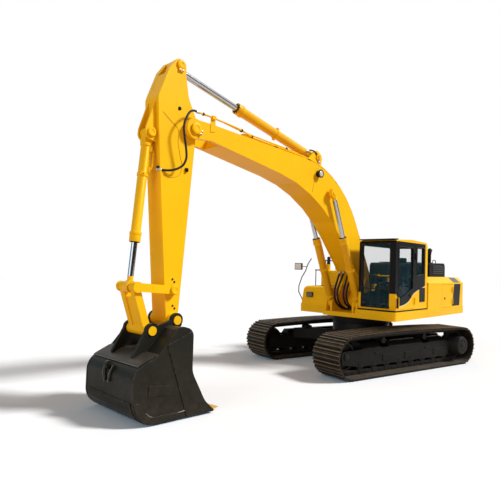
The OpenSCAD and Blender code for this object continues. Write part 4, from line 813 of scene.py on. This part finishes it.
for z in GRAB_Z:
    grab.lathe((GRAB_X, 1.456, z), TO_LEFT, [(0.0, 0.03), (0.008, 0.028), (0.01, 0.015)], 20)
place_all(strip, handle, grab)

# House: bare panels, grey bands painted as the sheen on the slopes above them, latches, louvres, tank
# fittings, lamps, treads, and mirror with its shell painted pale as its reflection
HOUSE_SIDE, HOUSE_EDGE, SHOULDER = 1.49, 2.06, (1.3, 2.216)
BARE_PANEL = [(-2.345, 1.425), (-2.87, 1.425), (-2.955, 2.035), (-2.475, 2.035)]
BAND_X, BAND_MARGIN = (-2.48, -2.95), 0.06
bare = Shop("side_bare_panels", "upper", black, "black", 0.0008)
# Grey bands on the slopes above the black panels: the black is painted lighter here as the sheen of the light
# on the slope
shoulder = Shop("shoulder_sheen_bands", "upper", painted_sheen_grey, "dark", 0.0008)
for s in SIDES:
    bare.plate(BARE_PANEL, s * 1.4895, s * 1.4925)
    slope = Vector((0.0, s * (SHOULDER[0] - HOUSE_SIDE), SHOULDER[1] - HOUSE_EDGE))
    rise = Vector((0.0, s * slope.z, abs(slope.y))).normalized()
    shoulder.prism(rectangle(BAND_X[0], BAND_MARGIN, BAND_X[1], 1.0 - BAND_MARGIN), (-0.001, 0.002),
                   lambda x, share, d: Vector((x, s * HOUSE_SIDE, HOUSE_EDGE)) + slope * share + rise * d)
place_all(bare, shoulder)

LATCH = [(0.0, 0.034), (0.01, 0.032), (0.012, 0.024), (0.006, 0.02)]
latch = Shop("door_latches", "service_door", plastic, "plastic", 0.002)
latch.lathe((-1.808, 1.488, 1.648), TO_LEFT, LATCH)
latch.box((-1.816, 1.495, 1.632), (-1.8, 1.503, 1.664))
far_latch = Shop("pump_door_fittings", "pump_door", plastic, "plastic", 0.002)
far_latch.lathe((-1.76, -1.488, 1.66), TO_RIGHT, LATCH)
for k in range(9):
    z = 1.56 + k * 0.045
    far_latch.prism(rectangle(-2.22, 0.0, -1.86, 1.0), ((-1.489, z), (-1.491, z + 0.022)),
                    lambda x, k, edge: (x, edge[0] - 0.014 * k, edge[1] - 0.012 * k))
place_all(latch, far_latch)

HOOD_RIB = ((0.0, 0.0), (0.034, 0.0), (0.034, 0.018), (0.01, 0.022))
HOOD_LOUVRE = ((-0.004, 0.0), (0.014, -0.01), (0.016, 0.004), (-0.004, 0.026))
HOOD_GRIP = ((-2.4, 2.598), (-2.4, 2.66), (-2.37, 2.69), (-2.24, 2.69), (-2.21, 2.66), (-2.21, 2.598))
hood = Shop("hood_fittings", "hood", plastic, "plastic", 0.003)
for k in range(12):
    x = -2.46 + k * 0.068
    hood.plate([(x + dx, 2.6 + dz) for dx, dz in HOOD_RIB], -0.42, 0.62)
for s, y in ((1.0, 1.19), (-1.0, -0.62)):
    for k in range(5):
        z = 2.31 + k * 0.05
        hood.facing([(y + s * d, z + dz) for d, dz in HOOD_LOUVRE], -2.42, -1.72)
hood.tube(smooth_path([(x, 0.98, z) for x, z in HOOD_GRIP]), 0.01, 10)
hood.lathe((-2.06, 0.93, 2.596), TO_SKY, [(0.0, 0.105), (0.016, 0.105), (0.022, 0.085), (0.024, 0.064)], 28)
hood.place()

tops = Shop("tank_fittings", "upper", plastic, "plastic", 0.002)
tops.lathe((-0.62, -1.15, 2.38), TO_SKY,
           [(0.0, 0.082), (0.045, 0.082), (0.055, 0.07), (0.058, 0.03), (0.072, 0.026)], 10)
tops.lathe((-0.4, -1.33, 2.48), (-0.06, 0.0, 1.0),
           [(0.0, 0.04), (0.02, 0.052), (0.16, 0.046), (0.2, 0.052), (0.235, 0.036)])
tops.place()
Shop("tank_necks", "upper", yellow, "yellow", 0.002).lathe((-0.4, -1.33, 2.312), TO_SKY, [
    (0.0, 0.085), (0.012, 0.085), (0.014, 0.062), (0.12, 0.058), (0.16, 0.068), (0.18, 0.06)]).place()

BOOM_LAMP = (2.454, 4.47)
Shop("lamp_lenses", "upper", amber_glass, "lamp", 0.002).facing(
    rectangle(-1.222, 1.6, -1.047, 1.71), 0.768, 0.774).place()
Shop("boom_lamp_lens", "boom", lamp_glass, "lamp").lathe((BOOM_LAMP[0], 0.366, BOOM_LAMP[1]), TO_LEFT, [
    (0.0, 0.066), (0.008, 0.064), (0.016, 0.046), (0.019, 0.018)], 28).place()
Shop("boom_lamp_rim", "boom", plastic, "plastic").lathe((BOOM_LAMP[0], 0.352, BOOM_LAMP[1]), TO_LEFT, [
    (-0.03, 0.076), (0.0, 0.09), (0.022, 0.094), (0.026, 0.09), (0.02, 0.064), (0.012, 0.06)], 28).place()

TAIL_R, LAMP_Y, LAMP_Z = 3.48, 1.1, (1.86, 1.95)
tail = Shop("tail_lamps", "upper", red_lens, "lamp", 0.002)
back = Shop("tail_fittings", "upper", plastic, "plastic", 0.003)
lamp_turn = math.asin(LAMP_Y / TAIL_R)
for s in SIDES:
    for half, push, shop in ((0.13, 0.0, back), (0.11, 0.006, tail)):
        shop.prism(rectangle(lamp_turn - half / TAIL_R, LAMP_Z[0], lamp_turn + half / TAIL_R, LAMP_Z[1]),
                   (TAIL_R + push - 0.004, TAIL_R + push + 0.01),
                   lambda t, z, r: (-r * math.cos(t), s * r * math.sin(t), z))
back.lathe((-3.474, 0.0, 2.02), (-1.0, 0.0, 0.0),
           [(0.0, 0.05), (0.03, 0.046), (0.036, 0.03), (0.024, 0.026)], 20)
place_all(tail, back)

treads = Shop("step_treads", "upper", black, "black")
for k in range(7):
    for j in range(4):
        treads.lathe((-0.13 + k * 0.1, -1.16 + j * 0.15, 1.888), TO_SKY,
                     [(0.0, 0.03), (0.006, 0.028), (0.007, 0.018), (0.003, 0.014)], 12)
treads.box((-0.2, -1.215, 1.8885), (0.56, -0.655, 1.8915))
treads.place()
Shop("mirror_face", "upper", mirror_glass, "mirror").facing(
    rectangle(-1.554, 2.325, -1.334, 2.485), 0.836, 0.832).place()
# The shell in front of the mirror glass is pale: the glass's white reflection, painted on
Shop("mirror_shell_painted_reflection", "upper", mirror_reflection_paint, "mirror", 0.002).facing(
    rectangle(-1.548, 2.33, -1.34, 2.48), 0.878, 0.886).place()

# Bucket: tooth adapters and pins, lap plate with the ribs by the lifting eye, and weld beads coloured pale as
# a painted highlight
TOOTH_REACH, TOOTH_PIN = 0.725, (-0.415, -1.388)
ADAPTER = ((-0.33, -1.342), (-0.15, -1.352), (-0.09, -1.372), (-0.33, -1.372))
teeth = Shop("tooth_adapters", "bucket", bucket_paint, "bucket", 0.004)
keys = Shop("tooth_pins", "bucket", steel, "chrome")
for i in range(5):
    y = TOOTH_REACH * (i / 2.0 - 1.0)
    for s in SIDES:
        keys.lathe(on_bucket(*TOOTH_PIN, y + s * 0.054), (0.0, s, 0.0),
                   [(0.0, 0.014), (0.008, 0.013), (0.01, 0.008)], 12)
    teeth.prism(ADAPTER, (y - 0.068, y + 0.068), on_bucket)
place_all(teeth, keys)

BEND, BEND_R = (0.746, -0.802), 0.26
LAP_SKIN, LAP_HALF = (-0.004, 0.016), 0.655
EYE_RIB = ((33, 0.105, -0.004), (33, 0.105, 0.055), (-16, 0.045, 0.04), (-16, 0.045, -0.004))
EYE_WELD_HIGHLIGHT = ((33, 0.12), (8, 0.09), (-16, 0.06))


def on_bend(degrees, out=0.0):
    """A place (x, z) from the bucket's pin, on the rounded back of its shell or out from it."""
    a = math.radians(degrees)
    return BEND[0] + (BEND_R + out) * math.cos(a), BEND[1] + (BEND_R + out) * math.sin(a)


def lap_edge(out):
    x, z = on_bend(66, out)
    return [on_bend(54, out), on_bend(60, out), (x, z), (x - 0.23, z + 0.102)]


lap = Shop("bucket_lap_plate", "bucket", bucket_paint, "bucket", 0.003)
lap.prism(lap_edge(LAP_SKIN[0]) + lap_edge(LAP_SKIN[1])[::-1], (-LAP_HALF, LAP_HALF), on_bucket)
for s in SIDES:
    lap.rings([[on_bucket(*on_bend(a, d), s * (y + w)) for a, y, d in EYE_RIB] for w in (0.0, 0.016)])
lap.prism(rectangle(33, -0.004, 37, 0.062), (-0.122, 0.122), lambda a, d, y: on_bucket(*on_bend(a, d), y))
lap.place()

# Weld beads along the side pads, the heel, the eye ribs and the lap plate, pale as a painted highlight on
# those edges
PAD_WELD_HIGHLIGHT = ((0.75, 0.715, -0.942), (0.576, 0.729, -0.922), (0.41, 0.742, -0.904))
HEEL_WELD_HIGHLIGHT = ((0.817, 0.731, -1.239), (0.715, 0.746, -1.312), (0.549, 0.763, -1.351), (0.334, 0.781, -1.326),
             (0.154, 0.796, -1.311))
weld_highlights = Shop("bucket_weld_highlights", "bucket", weld_painted_highlight, "bucket")
for s in SIDES:
    for line in (PAD_WELD_HIGHLIGHT, HEEL_WELD_HIGHLIGHT):
        weld_highlights.tube(smooth_path([on_bucket(x, z, s * (y + 0.003)) for x, y, z in line], 5), 0.006, 8)
    weld_highlights.tube([on_bucket(*on_bend(a, 0.055), s * y) for a, y in EYE_WELD_HIGHLIGHT], 0.0035, 8)
weld_highlights.tube([on_bucket(*on_bend(53.5, 0.013), y) for y in (-0.65, -0.3, 0.0, 0.3, 0.65)], 0.0045, 8)
weld_highlights.place()

# Operator's seat: pads as (x, z) outlines with their half widths, and the base under them
PADS = (
    ("seat_cushion", 0.235,
     [(-0.22, 1.845), (0.3, 1.86), (0.33, 1.93), (0.29, 1.985), (-0.1, 1.965), (-0.24, 1.955)]),
    ("seat_back", 0.225,
     [(-0.25, 1.95), (-0.13, 1.975), (-0.185, 2.28), (-0.235, 2.52), (-0.325, 2.52), (-0.345, 2.26)]),
    ("seat_headrest", 0.13,
     [(-0.285, 2.545), (-0.235, 2.55), (-0.245, 2.665), (-0.27, 2.7), (-0.32, 2.69), (-0.315, 2.58)]),
)
PAD_RINGS = ((-0.97, 0.55), (-0.91, 0.82), (-0.78, 0.92), (-0.4, 0.95), (0.0, 0.95), (0.4, 0.95),
             (0.78, 0.92), (0.91, 0.82), (0.97, 0.55))
SEAT_Y, SWELL, VOXEL, PRESSURE, CLOTH_STEPS = 0.9835, 0.022, 0.008, 4.0, 20
CHANNEL_PLACE, CHANNEL_WIDTH, CHANNEL_DEPTH = 0.42, 0.05, 0.011


def bake_shape(piece):
    """Makes what a piece's modifiers give its mesh, and takes them off."""
    mesh = bpy.data.meshes.new_from_object(piece.evaluated_get(bpy.context.evaluated_depsgraph_get()))
    piece.modifiers.clear()
    piece.data = mesh
    return mesh


def swell(piece, half):
    """Fills a pad as cloth under pressure, then draws in its sewn channels."""
    puff = piece.modifiers.new("puff", "SUBSURF")
    puff.levels = puff.render_levels = 3
    even = piece.modifiers.new("even", "REMESH")
    even.mode = "VOXEL"
    even.voxel_size = VOXEL
    even.use_smooth_shade = True
    mesh = bake_shape(piece)
    start = [v.co.copy() for v in mesh.vertices]
    air = piece.modifiers.new("cloth", "CLOTH")
    air.settings.use_pressure = True
    air.settings.uniform_pressure_force = PRESSURE
    air.settings.effector_weights.gravity = 0.0
    air.collision_settings.use_collision = False
    for step in range(1, CLOTH_STEPS + 1):
        scene.frame_set(step)
    mesh = bake_shape(piece)
    scene.frame_set(1)
    for v, at in zip(mesh.vertices, start):
        way = v.co - at
        if way.length > SWELL:
            v.co = at + way * (SWELL / way.length)
    for v in mesh.vertices:
        off = (abs(v.co.y - SEAT_Y) / half - CHANNEL_PLACE) / CHANNEL_WIDTH
        v.co -= v.normal * CHANNEL_DEPTH * math.exp(-off * off)
    if not mesh.materials:
        mesh.materials.append(cloth)
    for p in mesh.polygons:
        p.use_smooth = True
    last = piece.modifiers.new("smooth", "SUBSURF")
    last.levels = last.render_levels = 1


for name, half, outline in PADS:
    middle = sum((Vector(p) for p in outline), Vector((0.0, 0.0))) / len(outline)
    rings = [[(middle.x + (x - middle.x) * scale, SEAT_Y + k * half, middle.y + (z - middle.y) * scale)
              for x, z in outline] for k, scale in PAD_RINGS]
    piece = Shop(name, None, cloth, "seat").rings(rings).place()
    swell(piece, half)
    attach(piece, "upper")
    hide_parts("operator_seat")
base = Shop("seat_base", "upper", plastic, "plastic", 0.004)
for k in range(7):
    grow = 0.02 * (k % 2)
    base.box((-0.15 - grow, 0.82 - grow, 1.5 + k * 0.048), (0.2 + grow, 1.147 + grow, 1.55 + k * 0.048))
base.box((-0.2, 0.79, 1.482), (0.25, 1.177, 1.51))
base.box((-0.22, 0.8, 1.825), (0.27, 1.167, 1.85))
for y in (0.93, 1.04):
    base.rod((-0.275, y, 2.48), (-0.285, y, 2.6), 0.008)
base.place()

# The floor is white to the eye and in metal and glass, and keeps the shadow. Its light on the object is warm
PALE, BOUNCE, WHITE = (0.97, 0.97, 0.97), (0.7, 0.47, 0.3, 1.0), (1.0, 1.0, 1.0, 1.0)
FLOOR_LIFT = (0.0, 0.035, 0.065, 1.0)
FLOOR_SIZE, FLOOR_Z = 60.0, -0.002
floor_mesh = bpy.data.meshes.new("floor")
edit = bmesh.new()
bmesh.ops.create_grid(edit, x_segments=8, y_segments=8, size=FLOOR_SIZE)
edit.to_mesh(floor_mesh)
edit.free()
floor = bpy.data.objects.new("floor", floor_mesh)
floor.location.z = FLOOR_Z
scene.collection.objects.link(floor)
pale_floor = surface("floor_pale", PALE, 0.8, vary=0.01, bump=0.02, gloss=0.0)
ground = Graph(pale_floor.node_tree)
paint = shader(pale_floor)
rays = ground.node("LightPath").outputs
seen = ground.maths("MAXIMUM", rays["Is Camera Ray"], rays["Is Glossy Ray"])
seen = ground.maths("MAXIMUM", seen, rays["Is Transmission Ray"])
seen_colour = ground.mixed(seen, BOUNCE, paint["Base Color"].links[0].from_socket)
ground.feed_all(paint, {"Base Color": seen_colour, "Emission Color": FLOOR_LIFT, "Emission Strength": seen})
floor.data.materials.append(pale_floor)

# The room is white to the eye, with a dark side and a blue side in reflections, and lights the object softly
SOFT_LIGHT, SOFT_TINT = 0.24, (1.0, 0.82, 0.68, 1.0)
DARK_SIDE, BLUE_SIDE = (0.03, 0.034, 0.04, 1.0), (0.16, 0.4, 0.5, 1.0)
world = bpy.data.worlds.new("studio")
scene.world = world
world.use_nodes = True
room = Graph(world.node_tree)
rays = room.node("LightPath").outputs
looking = room.node("TexCoord").outputs["Generated"]
height = room.split(looking)["Z"]


def towards(x, y, a, b, low, high):
    """How far a ray looks to the side (x, y), from a to b, fading out upwards from low to high."""
    sideways = room.ranged(room.vectors("DOT_PRODUCT", looking, (x, y, 0.0)), a, b, kind="SMOOTHSTEP")
    return room.maths("MULTIPLY", sideways, room.ranged(height, low, high, 1.0, 0.0, "SMOOTHSTEP"))


mirrored = room.mixed(towards(-0.15, 0.99, 0.25, 0.6, 0.15, 0.5), WHITE, DARK_SIDE)
mirrored = room.mixed(towards(0.72, -0.69, 0.45, 0.85, 0.3, 0.6), mirrored, BLUE_SIDE)
seen = room.maths("MAXIMUM", rays["Is Camera Ray"], rays["Is Transmission Ray"])
tint = room.mixed(rays["Is Glossy Ray"], room.mixed(seen, SOFT_TINT, WHITE), mirrored)
seen = room.maths("MAXIMUM", seen, rays["Is Glossy Ray"])
room.feed_all(world.node_tree.nodes["Background"].inputs, {
    "Color": tint, "Strength": room.ranged(seen, 0.0, 1.0, SOFT_LIGHT, 1.0)})

# Lamps: strength, angle in degrees, and where the light comes from
LAMPS = (("key", 3.5, 11.0, (-0.55, 0.66, 0.75)), ("fill", 0.85, 50.0, (0.9, 0.0, 0.32)))
for name, energy, angle, at in LAMPS:
    sun_data = bpy.data.lights.new(name, "SUN")
    sun_data.energy = energy
    sun_data.angle = math.radians(angle)
    sun = bpy.data.objects.new(name, sun_data)
    sun.rotation_mode = "QUATERNION"
    sun.rotation_quaternion = Vector(at).normalized().to_track_quat("Z", "Y")
    scene.collection.objects.link(sun)

scene.view_settings.view_transform = "Standard"
